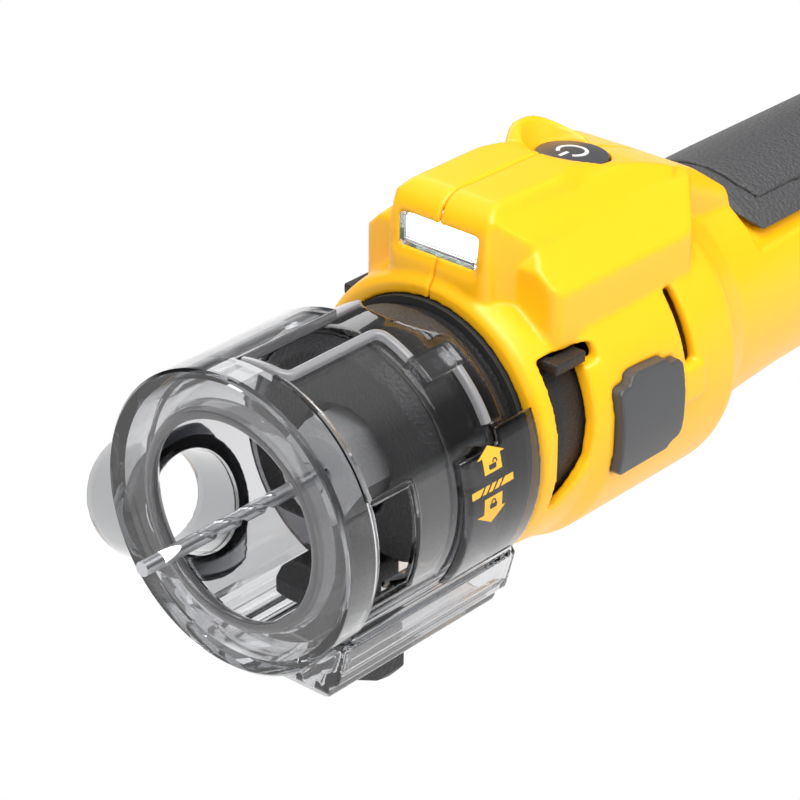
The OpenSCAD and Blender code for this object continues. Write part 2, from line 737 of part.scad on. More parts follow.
module collet_nut() {
    hex_r = nut_af / 2 / cos(30);
    color("#9fa3a8") difference() {
        intersection() {
            translate([nut_x, 0, 0]) rotate([0, 90, 0]) rotate([0, 0, 30])
                cylinder(r = hex_r, h = nut_l, $fn = 6);
            spun([[0, nut_x], [nut_af / 2 - 1, nut_x], [hex_r + 0.5, nut_x + 2.4],
                [hex_r + 0.5, nut_x + nut_l], [0, nut_x + nut_l]]);
        }
        spun([[0, nut_x - 1], [bit_d / 2 + 2.5, nut_x - 1], [bit_d / 2 + 2.5, nut_x + 0.9],
            [5.25, nut_x + 3.4], [spindle_nose_r + running, nut_x + 3.5],
            [spindle_nose_r + running, nut_x + nut_l + 1], [0, nut_x + nut_l + 1]]);
    }
}

// Bit: a plain guide point, a fluted stretch and a round shank
module cutting_bit() {
    r = bit_d / 2;
    flute_x = bit_point_l - bit_reach;
    shank_x = flute_x + bit_flute_l;
    color("#e3e6ea") {
        difference() {
            rod_x(r, -bit_reach, flute_x + 0.2);
            translate([flute_x - 9, 0, 0]) rotate([35, 0, 0]) rotate([0, -9, 0])
                block([-1, -r - 1, r * 0.62], [13, r + 1, r + 3]);
        }
        translate([flute_x, 0, 0]) rotate([0, 90, 0])
            linear_extrude(bit_flute_l, twist = -560, slices = 48) difference() {
            circle(r = r, $fn = 24);
            for (side = [-1, 1]) translate([side * r * 1.02, 0]) circle(r = r * 0.62, $fn = 16);
        }
        rod_x(r, shank_x - 0.2, bearing_x + 5);
    }
}

// Lamp, switch and button in the tower
module led_lens() {
    color([1, 1, 1, 0.8]) {
        block([tower_x + 1.1, -lamp_w / 2, lamp_z - lamp_h / 2],
            [tower_x + wall + 3.2, lamp_w / 2, lamp_z + lamp_h / 2]);
        block([tower_x + wall + 1.1, 0.6 - tower_w / 2 + wall, lamp_z - lamp_h / 2 - 1],
            [tower_x + wall + 3.2, tower_w / 2 - wall - 0.6, lamp_z + lamp_h / 2 + 1]);
    }
}

module led_board() {
    color("#1d5b3a") union() {
        block([tower_x + wall + 4.4, 0.6 - tower_w / 2 + wall, lamp_z - 5],
            [tower_x + wall + 6, tower_w / 2 - wall - 0.6, lamp_z + 4.4]);
        for (y = [-6, 0, 6]) block([tower_x + wall + 3.5, y - 1.5, lamp_z - 1.5],
            [tower_x + wall + 4.5, y + 1.5, lamp_z + 1.5]);
    }
}

module switch_board() {
    color("#1d5b3a") block([button_x - 12, 0.5 - tower_w / 2 + wall, tower_z - 17.8],
        [web_x - 2.4, tower_w / 2 - wall - 0.5, tower_z - 16.2]);
}

switch_top_z = flange_top_z - 5;

module power_switch() {
    color("#2b2d30") block([button_x - 6, -6, tower_z - 16.2], [button_x + 6, 6, switch_top_z]);
}

module power_button() {
    flange_z = flange_top_z - 1.6;
    dome_r = 55;
    color("#3b3d41") translate([button_x, 0, 0]) {
        intersection() {
            translate([0, 0, flange_z + 1]) cylinder(r = button_r, h = 12, $fn = round_fn);
            translate([0, 0, button_z]) rotate([0, button_tilt, 0]) translate([0, 0, -dome_r])
                sphere(r = dome_r, $fn = 2 * round_fn);
        }
        translate([0, 0, flange_z]) cylinder(r = button_r + 1.4, h = 1.6, $fn = round_fn);
        translate([0, 0, switch_top_z + button_travel + 0.2])
            cylinder(r = 2.4, h = flange_z - switch_top_z - button_travel, $fn = small_fn);
    }
}

module power_button_spring() {
    color(steel) translate([button_x, 0, switch_top_z + 0.05])
        coil(3.6, 0.3, 3, flange_top_z - 1.6 - switch_top_z - 0.1);
}

// Spindle lock: a plate across the nose with a key slot that takes the spindle's flats
module spindle_lock_plate() {
    ends_y = bell_r - 0.6;
    color(black) {
        difference() {
            block([plate_x, -ends_y, 16.8], [plate_x + plate_l, ends_y, 19.2]);
            for (side = [-1, 1]) block([plate_x + 2.5, side * 22 - 3, 16],
                [plate_x + 7, side * 22 + 3, 20]);
        }
        difference() {
            block([plate_x + 3.8, -12.5, -10.5], [plate_x + 6.8, 12.5, 17]);
            rod_x(7, plate_x, plate_x + plate_l);
            block([plate_x, -6.5 - plate_travel - 0.3, -4.7],
                [plate_x + plate_l, 6.5 + plate_travel + 0.3, 4.7]);
        }
    }
}

module spindle_lock_spring() {
    spring_z = 12;
    length = sqrt(pow(bell_r - wall, 2) - pow(spring_z + 2.3, 2)) - 12.5 - 2 * running;
    translate([plate_x + 5.3, 12.5 + running, spring_z]) rotate([-90, 0, 0]) coil(2, 0.3, 5, length);
}

module spindle_lock_spring_left() {
    color(steel) mirror([0, 1, 0]) spindle_lock_spring();
}

module spindle_lock_spring_right() {
    color(steel) spindle_lock_spring();
}

// Side pads sit in pockets of the body
module side_pad(side) {
    mirror([0, side > 0 ? 1 : 0, 0]) intersection() {
        side_prism(pad_outline(0), -body_r - 5, -10);
        spun([[body_r - 1, bell_x + 8], [body_r + 0.9, bell_x + 10], [body_r + 2.1, bell_x + 13],
            [body_r + 2.1, vent_x - 3],
            [body_r + 1.2, vent_x], [body_r - 1, vent_x]]);
    }
}

module side_pad_left() {
    color(black) side_pad(-1);
}

module side_pad_right() {
    color(black) side_pad(1);
}

// Grip: soft rubber over the top of the handle, and a textured pad let into it
grip_edge_z = 17.3;
grip_core_r = 23.7;
grip_pad_r = 25;

module rubber_grip() {
    color(black) difference() {
        intersection() {
            spun([[grip_core_r + 0.02, handle_x + 0.8], [grip_r - 1, handle_x + 0.8],
                [grip_r, handle_x + 3], [grip_r, handle_x + 22], [grip_r - 0.7, foot_x - 18],
                [grip_r - 0.8, foot_x - 8], [grip_r - 1.6, foot_x - 3.3],
                    [grip_core_r + 0.02, foot_x - 3.3]]);
            side_prism([[handle_x + 0.8, 40], [handle_x + 0.8, 22], [handle_x + 6, grip_edge_z],
                [foot_x - 12, grip_edge_z],
                [foot_x - 3.3, 23], [foot_x - 3.3, 40]], -30, 30);
        }
        grip_pocket(0);
    }
}

module grip_pocket(inset) {
    intersection() {
        spun(band(grip_pad_r, 40, handle_x + 8.6 + inset, foot_x - 12 - inset));
        plan_prism([[handle_x + 8.6 + inset, 9 - inset], [handle_x + 10.6 + inset, 14 - inset],
            [foot_x - 14 - inset, 14 - inset], [foot_x - 12 - inset, 12 - inset],
            [foot_x - 12 - inset, inset - 12], [foot_x - 14 - inset, inset - 14],
                [handle_x + 10.6 + inset, inset - 14], [handle_x + 8.6 + inset, inset - 9]],
            grip_edge_z, 40);
    }
}

module grip_pad() {
    color("#1e1f22") intersection() {
        grip_pocket(0.1);
        spun([[0, handle_x + 5], [grip_r + 0.4, handle_x + 5], [grip_r + 0.4, handle_x + 22],
            [grip_r - 0.3, foot_x - 18], [grip_r - 0.4, foot_x - 5], [0, foot_x - 5]]);
    }
}

// Controller in the handle
module controller_board() {
    color("#1d5b3a") union() {
        block([handle_x + 4, -15, -6.4], [foot_x - 22, 15, -4.8]);
        for (i = [0:5]) block([handle_x + 10 + 8 * i, -13, -4.9], [handle_x + 15.5 + 8 * i, -6, -0.5]);
        for (y = [5, 11.5]) rod_x_at(3, y, -1.9, handle_x + 14, handle_x + 34);
    }
}

blade_ys = [-12, -4, 4, 12];

module battery_terminals() {
    color("#2b2d30") union() {
        difference() {
            block([foot_end_x - 3.6, -16, -4], [foot_end_x + rail_l - 0.2, 16, 18]);
            block([foot_end_x - 4, -13, -1], [foot_end_x - 1, 13, 15]);
        }
        for (y = blade_ys) block([foot_end_x + rail_l - 1, y - 0.4, 0],
            [foot_end_x + rail_l + 7, y + 0.4, 13]);
    }
}

// Shroud mount: a smoked sleeve on the nose, with the printed twist lock tab outside the guide
mount_r = guide_r - guide_wall - 0.3;
tab_in_r = guide_r + 0.4;
tab_end_x = collar_x - 2.1;
mount_end_x = 54;
mount_x = 36;

module shroud_mount() {
    color(smoke) union() {
        difference() {
            spun([[nose_r + 0.35, mount_x], [mount_r - 0.5, mount_x], [mount_r, mount_x + 1],
                [mount_r, mount_end_x - 1], [mount_r - 0.6, mount_end_x],
                [nose_r + 0.35, mount_end_x]]);
            block([mount_x - 1, -9, -40], [mount_end_x - 4, 9, 0]);
            // Arched rear edge at the top
            translate([mount_end_x + 6, 0, 0]) cylinder(r = 13, h = 40, $fn = round_fn);
        }
        difference() {
            sector([[mount_r - 0.5, guide_end_x + 3], [mount_r - 0.5, mount_end_x],
                [tab_in_r, mount_end_x + 1.2], [tab_in_r, tab_end_x], [tab_in_r + 1.5, tab_end_x],
                [tab_in_r + 1.5, tab_end_x - tab_l + 1.5], [tab_in_r + 0.5, tab_end_x - tab_l],
                    [tab_in_r, tab_end_x - tab_l], [tab_in_r, guide_end_x + 2.4]],
                tab_from, tab_to);
            // The tab's upper front corner is cut back
            sector(band(tab_in_r - 0.2, tab_in_r + 4, tab_end_x - tab_l - 1, tab_end_x - tab_l + 11.5),
                tab_to - 6, tab_to + 2);
        }
    }
}

// Depth guide: front ring, tube, spring tongue, side window, rail channel and dust port
port_turn = 20;
port_bearing = 205;
port_x = 8;

module along_port() {
    translate([port_x, 0, 0]) rotate([180 - port_bearing, 0, 0]) rotate([0, 0, -port_turn])
        rotate([-90, 0, 0]) children();
}

function channel_outline(inset) = let (w = channel_w / 2, z = channel_z,
    half = [[w - 2.4 - inset, -18.6], [w - inset, -21.4],
    [w - 2.3 - inset, 5.7 - z + inset], [w - 4.8 - inset, 4 - z + inset * 1.2],
        [w - 5.5 - inset, 1.4 - z + inset], [w - 7.6 - inset, inset - z]])
    concat(half, flip(half));

module guide_wall_solid() {
    inner_r = guide_r - guide_wall;
    spun([[ring_hole_r + 1.9, 1.3], [28.7, 1.3], [ring_r - 2.2, 0], [ring_r - 0.6, 0], [ring_r, 0.6],
        [ring_r, ring_l], [guide_r, ring_l + 2.8], [guide_r, guide_end_x],
        [inner_r, guide_end_x], [inner_r, ring_l + 1.5], [inner_r + 0.9, ring_l + 0.5],
            [inner_r + 0.9, 3], [ring_hole_r + 1.9, 3]]);
    // Rolled lip of the hole
    spun([[ring_hole_r, 1.5], [ring_hole_r + 0.3, 1.3], [ring_hole_r + 2, 1.3], [ring_hole_r + 2.4, 3],
        [ring_hole_r + 3.4, 5], [ring_hole_r + 3, 5.8],
        [ring_hole_r + 2, 5.4], [ring_hole_r + 0.5, 3.4]]);
}

// The outer form that the dust port and the rails sit on
module guide_seat() {
    spun([[0, -1], [ring_r + touch, -1], [ring_r + touch, ring_l + touch],
        [guide_r + touch, ring_l + 2.8 + touch],
        [guide_r + touch, channel_end_x + 5], [0, channel_end_x + 5]]);
}

// Slots for the depth lock's neck, through the tube and the channel's floor
module lock_slot() {
    block([lock_x + 4 - lock_travel - 0.6, -5, -channel_z - 1], [lock_x + 20.6, 5, -20]);
}

module port_form(space) {
    along_port() translate([0, 0, 20])
        cylinder(r = port_bore_r + port_wall + space, h = port_reach - 20, $fn = round_fn);
    along_port() translate([0, 0, 20])
        cylinder(r = port_bore_r + port_wall + 2.4 + space, h = guide_r - 20, $fn = round_fn);
    along_port() translate([0, 0, guide_r])
        cylinder(r1 = port_bore_r + port_wall + 2.4 + space, r2 = port_bore_r + port_wall + space, h = 4,
        $fn = round_fn);
}

module dust_port() {
    color(clear) difference() {
        port_form(0);
        guide_seat();
        along_port() translate([0, 0, 15]) cylinder(r = port_bore_r, h = port_reach, $fn = round_fn);
    }
}

module guide_rails() {
    color(clear) difference() {
        guide_channel();
        guide_seat();
        port_form(touch);
        lock_slot();
    }
}

module guide_channel() {
    difference() {
        intersection() {
            cross_prism(channel_outline(0), ring_l - 2, channel_end_x);
            side_prism([[ring_l - 2, 0], [ring_l - 2, 3 - channel_z], [ring_l + 1, -channel_z - 1],
                [channel_end_x - 1, -channel_z - 1],
                [channel_end_x, 2 - channel_z], [channel_end_x, 0]], -40, 40);
        }
        cross_prism(channel_outline(1.8), ring_l, channel_end_x + 1);
    }
    // Rails on the channel's floor
    for (side = [-1, 1]) for (y = [7, 12, 17])
        block([ring_l - 0.5, side * y - 0.6, 1.7 - channel_z],
            [channel_end_x - 1.5, side * y + 0.6, 3.4 - channel_z]);
}

module depth_guide() {
    color(clear) difference() {
        union() {
            difference() {
                guide_wall_solid();
                // Open top: the slot beside the tongue and the space below it
                sector(band(guide_r - guide_wall - 1, ring_r + 1, ring_l + 3.5, guide_end_x + 1), 79,
                    tongue_to - 4);
                // Open bottom above the channel
                block([ring_l + 1.6, -13.5, -guide_r - 0.5], [guide_end_x + 1, 13.5, -18]);
                sector(band(guide_r - guide_wall - 1, ring_r + 1, ring_l - 0.8, ring_l + 4.3), 79.5,
                    tongue_from + 0.5);
                // Stepped rear edge beside the lock block
                sector(band(guide_r - guide_wall - 1, ring_r + 1, guide_end_x - 8.6, guide_end_x + 1),
                    61, 80);
                // Side window
                sector(band(guide_r - guide_wall - 1, guide_r + 1.5, 9.6, 22.6), -24, 22);
            }
            // Spring tongue with its hook
            sector([[ring_r - 2.4, 5], [ring_r - 0.03, 5], [ring_r - 0.03, tongue_end_x],
                [ring_r - 2.4, tongue_end_x]], tongue_from, tongue_to);
            sector([[ring_r - 3.2, tongue_end_x - 7], [ring_r - 2.3, tongue_end_x - 7],
                [ring_r - 2.3, tongue_end_x - 1], [ring_r - 3.2, tongue_end_x - 2]],
                tongue_from + 4, tongue_from + 16);
            // Lock block on the stepped edge
            sector(band(guide_r - guide_wall + 0.15, guide_r + 1.6, guide_end_x - 9.4, guide_end_x
                + 0.6), 50, 60.4);
        }
        along_port() translate([0, 0, 20]) cylinder(r = port_bore_r, h = port_reach, $fn = round_fn);
        lock_slot();
    }
}

// Depth lock: an inner block, a neck through the rails and a thumb block below
lock_x = 22;
lock_l = 22;

module depth_lock() {
    color(black) union() {
        intersection() {
            side_prism([[lock_x, -28.5], [lock_x, -24.4], [lock_x + 3, -21], [lock_x + lock_l, -21],
                [lock_x + lock_l, -28.5]], -7.4, 7.4);
            cross_prism([[-7.4, -27.9], [-7.4, -22.6], [-5.6, -21], [5.6, -21], [7.4, -22.6],
                [7.4, -27.9], [5, -28.5], [-5, -28.5]], lock_x, lock_x + lock_l);
        }
        block([lock_x + 4, -4.4, -channel_z - 1], [lock_x + 20, 4.4, -28]);
        intersection() {
            side_prism(concat([[lock_x + 1, -channel_z - seat], [lock_x, -channel_z - 4],
                [lock_x + 1, 9 - thumb_z]],
                arc(lock_x + 19.6, 2.4 - thumb_z, 2.4, 256, 350, 5),
                    [[lock_x + 22, -channel_z - seat]]), -9, 9);
            cross_prism([[-9, -channel_z - seat], [-9, 3 - thumb_z], [-6.5, -thumb_z], [6.5, -thumb_z],
                [9, 3 - thumb_z], [9, -channel_z - seat]], lock_x, lock_x + 26);
        }
    }
}

// Battery pack: two case halves round a row of cells
cell_pitch = 2 * cell_r + 0.5;
cells_x = pack_x + 12.6 + cell_r;
pack_wall = 2.3;
cells_low_z = pack_wall + 0.6 + cell_r - pack_bottom_z;
pack_top_z = cells_low_z + (cells - 1) * cell_pitch + cell_r + 0.6 + pack_wall;
pack_mid_x = cells_x - 2;
pack_end_x = cells_x + cell_r + 0.6 + pack_wall;
rail_in = 3.4;

function pack_section(inset) = rounded([inset - pack_w / 2, inset - pack_bottom_z],
    [pack_w / 2 - inset, pack_top_z - inset], 7 - inset);

// The rear of the pack is barrelled, with a bevel all round
module pack_rear_form(inset) {
    cross_prism(pack_section(inset), pack_mid_x - 6, pack_end_x - 4 - inset);
    cross_prism(pack_section(inset + 2), pack_mid_x - 6, pack_end_x - 2 - inset);
    cross_prism(pack_section(inset + 4), pack_mid_x - 6, pack_end_x - inset);
}

module cell_room() {
    block([cells_x - cell_r - 0.4, -cell_l / 2 - 0.4, cells_low_z - cell_r - 0.4],
        [cells_x + cell_r + 0.4, cell_l / 2 + 0.4, cells_low_z + (cells - 1)
            * cell_pitch + cell_r + 0.4]);
}

latch_x = pack_x + 3.8;
latch_l = 3;
latch_travel = 3;

module battery_case_front() {
    hook_y = head_half + seat;
    color(black) difference() {
        union() {
            cross_prism(pack_section(0), pack_x, pack_mid_x);
            // Rails that wrap the foot's head, and the shelf it stops on
            for (side = [0, 1]) mirror([0, side, 0]) {
                block([foot_end_x + seat, hook_y, foot_low + 1.5],
                    [pack_x + 1, hook_y + 4.6, foot_high - 1]);
                block([foot_end_x + seat, hook_y - rail_in, foot_low + 1.5],
                    [foot_end_x + 3.1 - seat, hook_y + 1, foot_high - 1]);
            }
            block([foot_end_x + seat, -hook_y - 4.6, foot_low - 3.4],
                [pack_x + 1, hook_y + 4.6, foot_low + 2 - seat]);
        }
        cell_room();
        // Slots for the terminal blades, open at the top
        for (y = blade_ys) block([pack_x - 1, y - 1.9, -1], [pack_x + 8, y + 1.9, pack_top_z + 1]);
        // Room for the latch
        block([latch_x - 0.4, -12.4, foot_low - 16.4],
            [latch_x + latch_l + latch_travel + 1.7, 12.4, foot_low + 13.4]);
        block([pack_x - 10, -8.4, foot_low + 4.4], [latch_x + 1, 8.4, foot_low + 10.6]);
        block([pack_x - 10, -9.9, foot_low - 14.6], [latch_x + 1, 9.9, foot_low - 4.2]);
        for (spot = pack_screw_spots) {
            translate([0, spot[0], spot[1]]) rod_x(1.35, pack_mid_x - 12, pack_mid_x + 1);
        }
    }
}

pack_screw_spots = [for (y = [-1, 1]) for (z = [6 - pack_bottom_z + 1, pack_top_z - 7]) [y
    * (pack_w / 2 - 3.3), z]];

module battery_case_rear() {
    color(black) difference() {
        intersection() {
            pack_rear_form(0);
            block([pack_mid_x + 0.1, -pack_w, -100], [pack_end_x + 5, pack_w, 100]);
        }
        cell_room();
        for (spot = pack_screw_spots) translate([0, spot[0], spot[1]]) {
            rod_x(1.35, pack_mid_x - 1, pack_end_x + 1);
            rod_x(2.75, pack_mid_x + 5, pack_end_x + 1);
        }
    }
}

module battery_screws() {
    color("#55585c") for (spot = pack_screw_spots) translate([0, spot[0], spot[1]]) {
        rod_x(1.3, pack_mid_x - 9, pack_mid_x + 5.2);
        rod_x(2.6, pack_mid_x + 5, pack_mid_x + 6.8);
    }
}

module battery_cells() {
    color("#3f7f5f") for (i = [0:cells - 1]) translate([cells_x, 0, cells_low_z + i * cell_pitch])
        rotate([90, 0, 0]) {
        cylinder(r = cell_r, h = cell_l - 1, center = true, $fn = round_fn);
        cylinder(r = 3, h = cell_l, center = true, $fn = small_fn);
    }
}

module battery_contacts() {
    color("#c98b4a") for (y = blade_ys) for (side = [-1, 1])
        block([pack_x + 1.2, y + side * 1.15 - 0.4, -0.7], [pack_x + 7.6, y + side * 1.15 + 0.4, 12]);
}

module battery_latch() {
    color("#3b3d41") union() {
        block([latch_x, -12, foot_low - 16], [latch_x + latch_l, 12, foot_low + 13]);
        side_prism([[latch_x + 1, foot_low + 4.8], [foot_end_x + 2.6, foot_low + 4.8],
            [foot_end_x + 3.6, foot_low + 10.2], [latch_x + 1, foot_low + 10.2]], -8, 8);
        block([pack_x - 3.4, -9.5, foot_low - 14.2], [latch_x + 1, 9.5, foot_low - 4.6]);
    }
}

module battery_latch_spring() {
    color(steel) for (z = [foot_low - 10, foot_low + 7]) translate([latch_x + latch_l + running, 0, z])
        rotate([0, 90, 0])
        coil(3.2, 0.35, 3, latch_travel + 1.7 - 2 * running);
}

housing_left();
housing_right();
housing_screws();
nose_case();
collar_seal();
front_bearing_outer();
rear_bearing_outer();
bearing_balls();
stator_core();
stator_windings();
sensor_board();
fan_baffle();
led_lens();
led_board();
power_switch();
switch_board();
power_button();
power_button_spring();
spindle_lock_plate();
spindle_lock_spring_left();
spindle_lock_spring_right();
side_pad_left();
side_pad_right();
rubber_grip();
grip_pad();
controller_board();
battery_terminals();
spindle();
front_bearing_inner();
rear_bearing_inner();
rotor_core();
rotor_magnets();
cooling_fan();
collet();
collet_nut();
cutting_bit();
shroud_mount();
depth_guide();
dust_port();
guide_rails();
depth_lock();
battery_case_front();
battery_case_rear();
battery_screws();
battery_cells();
battery_contacts();
battery_latch();
battery_latch_spring();
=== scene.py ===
# %% [markdown]
# # Dressing a cordless cut out tool
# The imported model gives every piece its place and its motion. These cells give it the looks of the
# real tool: moulded nylon, soft rubber, clear and smoked polycarbonate, ground steel.

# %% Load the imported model
import json
import math

import bmesh
import bpy
import numpy as np
from mathutils import Matrix, Vector


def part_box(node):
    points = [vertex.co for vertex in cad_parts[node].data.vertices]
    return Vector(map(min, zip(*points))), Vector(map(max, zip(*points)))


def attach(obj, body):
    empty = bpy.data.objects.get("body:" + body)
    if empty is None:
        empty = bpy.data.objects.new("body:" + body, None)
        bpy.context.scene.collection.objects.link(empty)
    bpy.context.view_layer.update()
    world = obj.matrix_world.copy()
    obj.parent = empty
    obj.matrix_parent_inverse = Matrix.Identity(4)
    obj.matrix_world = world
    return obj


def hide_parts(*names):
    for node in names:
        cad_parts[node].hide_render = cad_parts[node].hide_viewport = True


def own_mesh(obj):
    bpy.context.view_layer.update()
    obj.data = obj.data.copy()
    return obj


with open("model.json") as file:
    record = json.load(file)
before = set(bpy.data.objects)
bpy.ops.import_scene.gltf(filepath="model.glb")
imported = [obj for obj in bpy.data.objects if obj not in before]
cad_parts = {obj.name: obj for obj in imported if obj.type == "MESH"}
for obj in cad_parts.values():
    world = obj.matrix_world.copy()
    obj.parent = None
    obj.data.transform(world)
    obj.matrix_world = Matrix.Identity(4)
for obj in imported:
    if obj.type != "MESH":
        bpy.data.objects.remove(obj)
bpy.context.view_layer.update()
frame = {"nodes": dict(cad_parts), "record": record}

MM = 0.001
nodes = frame["nodes"]
scene = bpy.context.scene
bodies = frame["record"]["behaviour"]["bodies"]
body_of = {node: body for body, members in bodies.items() for node in members}
slot_of = {part["node"]: part["material_slot"] for part in frame["record"]["subparts"]}

# %% [markdown]
# ## Camera
# The camera comes first, because everything is judged through it. It stands where the photographer
# stood: in front of the bit, on its left and above it. A long lens keeps the perspective calm.
# The three axes of the camera are worked out from a heading, an elevation and a small roll.

# %% Place the camera
HEADING, ELEVATION, ROLL = (math.radians(a) for a in (49.21, 27.67, 0.53))
CAMERA_AT = Vector((-417.0, -404.8, 332.2)) * MM
FOCAL_PIXELS, FRAME_PIXELS, SENSOR = 3410.5, 800, 36.0


def camera_matrix():
    """The camera's place and axes: right, up and backwards."""
    level_right = Vector((math.cos(HEADING), -math.sin(HEADING), 0))
    ahead = Vector((math.sin(HEADING), math.cos(HEADING), 0))
    forward = ahead * math.cos(ELEVATION) - Vector((0, 0, 1)) * math.sin(ELEVATION)
    level_up = ahead * math.sin(ELEVATION) + Vector((0, 0, 1)) * math.cos(ELEVATION)
    right = level_right * math.cos(ROLL) + level_up * math.sin(ROLL)
    up = level_up * math.cos(ROLL) - level_right * math.sin(ROLL)
    columns = Matrix((right, up, -forward)).transposed().to_4x4()
    return Matrix.Translation(CAMERA_AT) @ columns


camera = bpy.data.objects.new("camera", bpy.data.cameras.new("camera"))
scene.collection.objects.link(camera)
camera.matrix_world = camera_matrix()
camera.data.sensor_width = SENSOR
camera.data.lens = FOCAL_PIXELS / FRAME_PIXELS * SENSOR
camera.data.clip_start, camera.data.clip_end = 0.01, 50
scene.camera = camera
print("lens", round(camera.data.lens, 1), "mm")

# %% [markdown]
# ## Node trees
# Materials, the world and the swept lips are all node trees. One small function adds a node to a tree:
# it sets the node's options, then gives each input either a plain value or a link.

# %% Adding nodes
def adder(tree):
    """A function that adds a node to a tree and returns it."""

    def add(kind, inputs=None, **settings):
        node = tree.nodes.new(kind)
        for key, value in settings.items():
            setattr(node, key, value)
        for key, value in (inputs or {}).items():
            if isinstance(value, bpy.types.NodeSocket):
                tree.links.new(value, node.inputs[key])
            else:
                node.inputs[key].default_value = value
        return node

    return add


def new_tree(owner):
    """Empties the node tree of a material or a world and returns the function that adds to it."""
    owner.use_nodes = True
    owner.node_tree.nodes.clear()
    return adder(owner.node_tree)


def either(add, first, second):
    """The larger of two values: 1 where one of two kinds of ray is met."""
    return add("ShaderNodeMath", {0: first, 1: second}, operation="MAXIMUM").outputs[0]


# %% [markdown]
# ## Floor, backdrop and lamps
# The tool floats over a plain white ground, lit by big soft lamps. The ground and the world are
# painted white only for rays that look at them, so the background is white and no more light falls on
# the tool than its colours need. The floor lies below the lowest place that any moving piece reaches.
# Shiny pieces mirror bands of light and dark instead, which gives steel and clear plastic their edges.

# %% Floor and world
FLOOR_Z, FLOOR_REACH = -0.20, 6.0
WORLD_STRENGTH = 0.7
WORLD_LIGHT = [(0.5, 0.10), (0.9, 0.55)]
MIRRORED_BANDS = [(0.40, 0.80), (0.50, 0.62), (0.56, 0.10), (0.74, 0.14), (0.84, 0.45), (0.95, 0.60)]


def white_ground():
    """Paper for the light that falls on it, and plain white for every ray that looks at it."""
    material = bpy.data.materials.new("white_ground")
    add = new_tree(material)
    ray = add("ShaderNodeLightPath").outputs
    paper = add("ShaderNodeBsdfDiffuse", {"Color": (0.9, 0.9, 0.9, 1)})
    glow = add("ShaderNodeEmission", {"Color": (1, 1, 1, 1), "Strength": 1.0})
    direct = either(add, ray["Is Camera Ray"], ray["Is Transmission Ray"])
    looking = either(add, direct, ray["Is Glossy Ray"])
    mixed = add("ShaderNodeMixShader", {0: looking, 1: paper.outputs[0], 2: glow.outputs[0]})
    add("ShaderNodeOutputMaterial", {"Surface": mixed.outputs[0]})
    return material


def lay_floor():
    """One big square below the tool."""
    mesh = bpy.data.meshes.new("floor")
    signs = ((-1, -1), (1, -1), (1, 1), (-1, 1))
    mesh.from_pydata([(x * FLOOR_REACH, y * FLOOR_REACH, FLOOR_Z) for x, y in signs], [], [(0, 1, 2, 3)])
    floor = bpy.data.objects.new("floor", mesh)
    mesh.materials.append(white_ground())
    scene.collection.objects.link(floor)


def ramp_of(add, value, stops):
    """A run of greys along a value, from pairs of position and grey."""
    ramp = add("ShaderNodeValToRGB", {0: value})
    colours = ramp.color_ramp.elements
    while len(colours) < len(stops):
        colours.new(0.5)
    for element, (place, grey) in zip(colours, stops):
        element.position = place
        element.color = (grey, grey, grey, 1)
    return ramp.outputs[0]


def light_world():
    """White behind the tool, even light from above, and bands that only shiny things mirror."""
    world = bpy.data.worlds.new("studio")
    scene.world = world
    add = new_tree(world)
    ray = add("ShaderNodeLightPath").outputs
    direction = add("ShaderNodeTexCoord").outputs["Generated"]
    height = add("ShaderNodeSeparateXYZ", {0: direction}).outputs["Z"]
    raised = add("ShaderNodeMapRange", {"Value": height, "From Min": -1.0, "From Max": 1.0}).outputs[0]
    lit = ramp_of(add, raised, WORLD_LIGHT)
    light = add("ShaderNodeBackground", {"Color": lit, "Strength": WORLD_STRENGTH})
    bands = ramp_of(add, raised, MIRRORED_BANDS)
    mirrored = add("ShaderNodeBackground", {"Color": bands, "Strength": 1.0})
    white = add("ShaderNodeBackground", {"Color": (1, 1, 1, 1), "Strength": 1.0})
    unturned = add("ShaderNodeMath", {0: ray["Glossy Depth"], 1: 0.5}, operation="LESS_THAN").outputs[0]
    straight = add("ShaderNodeMath", {0: ray["Is Transmission Ray"], 1: unturned}, operation="MULTIPLY")
    direct = either(add, ray["Is Camera Ray"], straight.outputs[0])
    reflected = either(add, ray["Is Glossy Ray"], ray["Is Transmission Ray"])
    seen = add("ShaderNodeMixShader", {0: reflected, 1: light.outputs[0], 2: mirrored.outputs[0]})
    mixed = add("ShaderNodeMixShader", {0: direct, 1: seen.outputs[0], 2: white.outputs[0]})
    add("ShaderNodeOutputWorld", {"Surface": mixed.outputs[0]})


lay_floor()
light_world()
scene.view_settings.view_transform = "Standard"

# %% Lamps
TARGET = Vector((0.07, 0, 0.01))


def softbox(name, place, size, power, mirrored=False):
    """A rectangular lamp that looks at the tool. Shiny pieces mirror it only where that is asked for."""
    data = bpy.data.lights.new(name, "AREA")
    data.shape = "RECTANGLE"
    data.size, data.size_y = size
    data.energy = power
    lamp = bpy.data.objects.new(name, data)
    scene.collection.objects.link(lamp)
    lamp.visible_glossy = lamp.visible_transmission = mirrored
    lamp.location = place
    lamp.rotation_euler = (TARGET - Vector(place)).to_track_quat("-Z", "Y").to_euler()


softbox("lamp_above", (-0.10, -0.25, 0.85), size=(1.1, 0.8), power=13.0, mirrored=True)
softbox("lamp_left", (-0.75, -0.35, 0.30), size=(0.5, 0.9), power=2.3)
softbox("lamp_right", (0.55, -0.80, 0.35), size=(0.6, 0.6), power=3.6)
softbox("lamp_behind", (0.40, 0.90, 0.55), size=(1.0, 0.5), power=3.2, mirrored=True)

# %% [markdown]
# ## Finishes
# A moulded part is never one flat colour. Every finish here is a small node tree that reads the
# piece's own coordinates: a slow change of tone, a fine grain as bump, and a roughness that varies a
# little. One function builds all the solid ones, so that their scales can be compared in one table.

# %% Solid finishes
TONE_SCALE = 28.0
ROUGH_LOW, ROUGH_HIGH = 0.85, 1.15


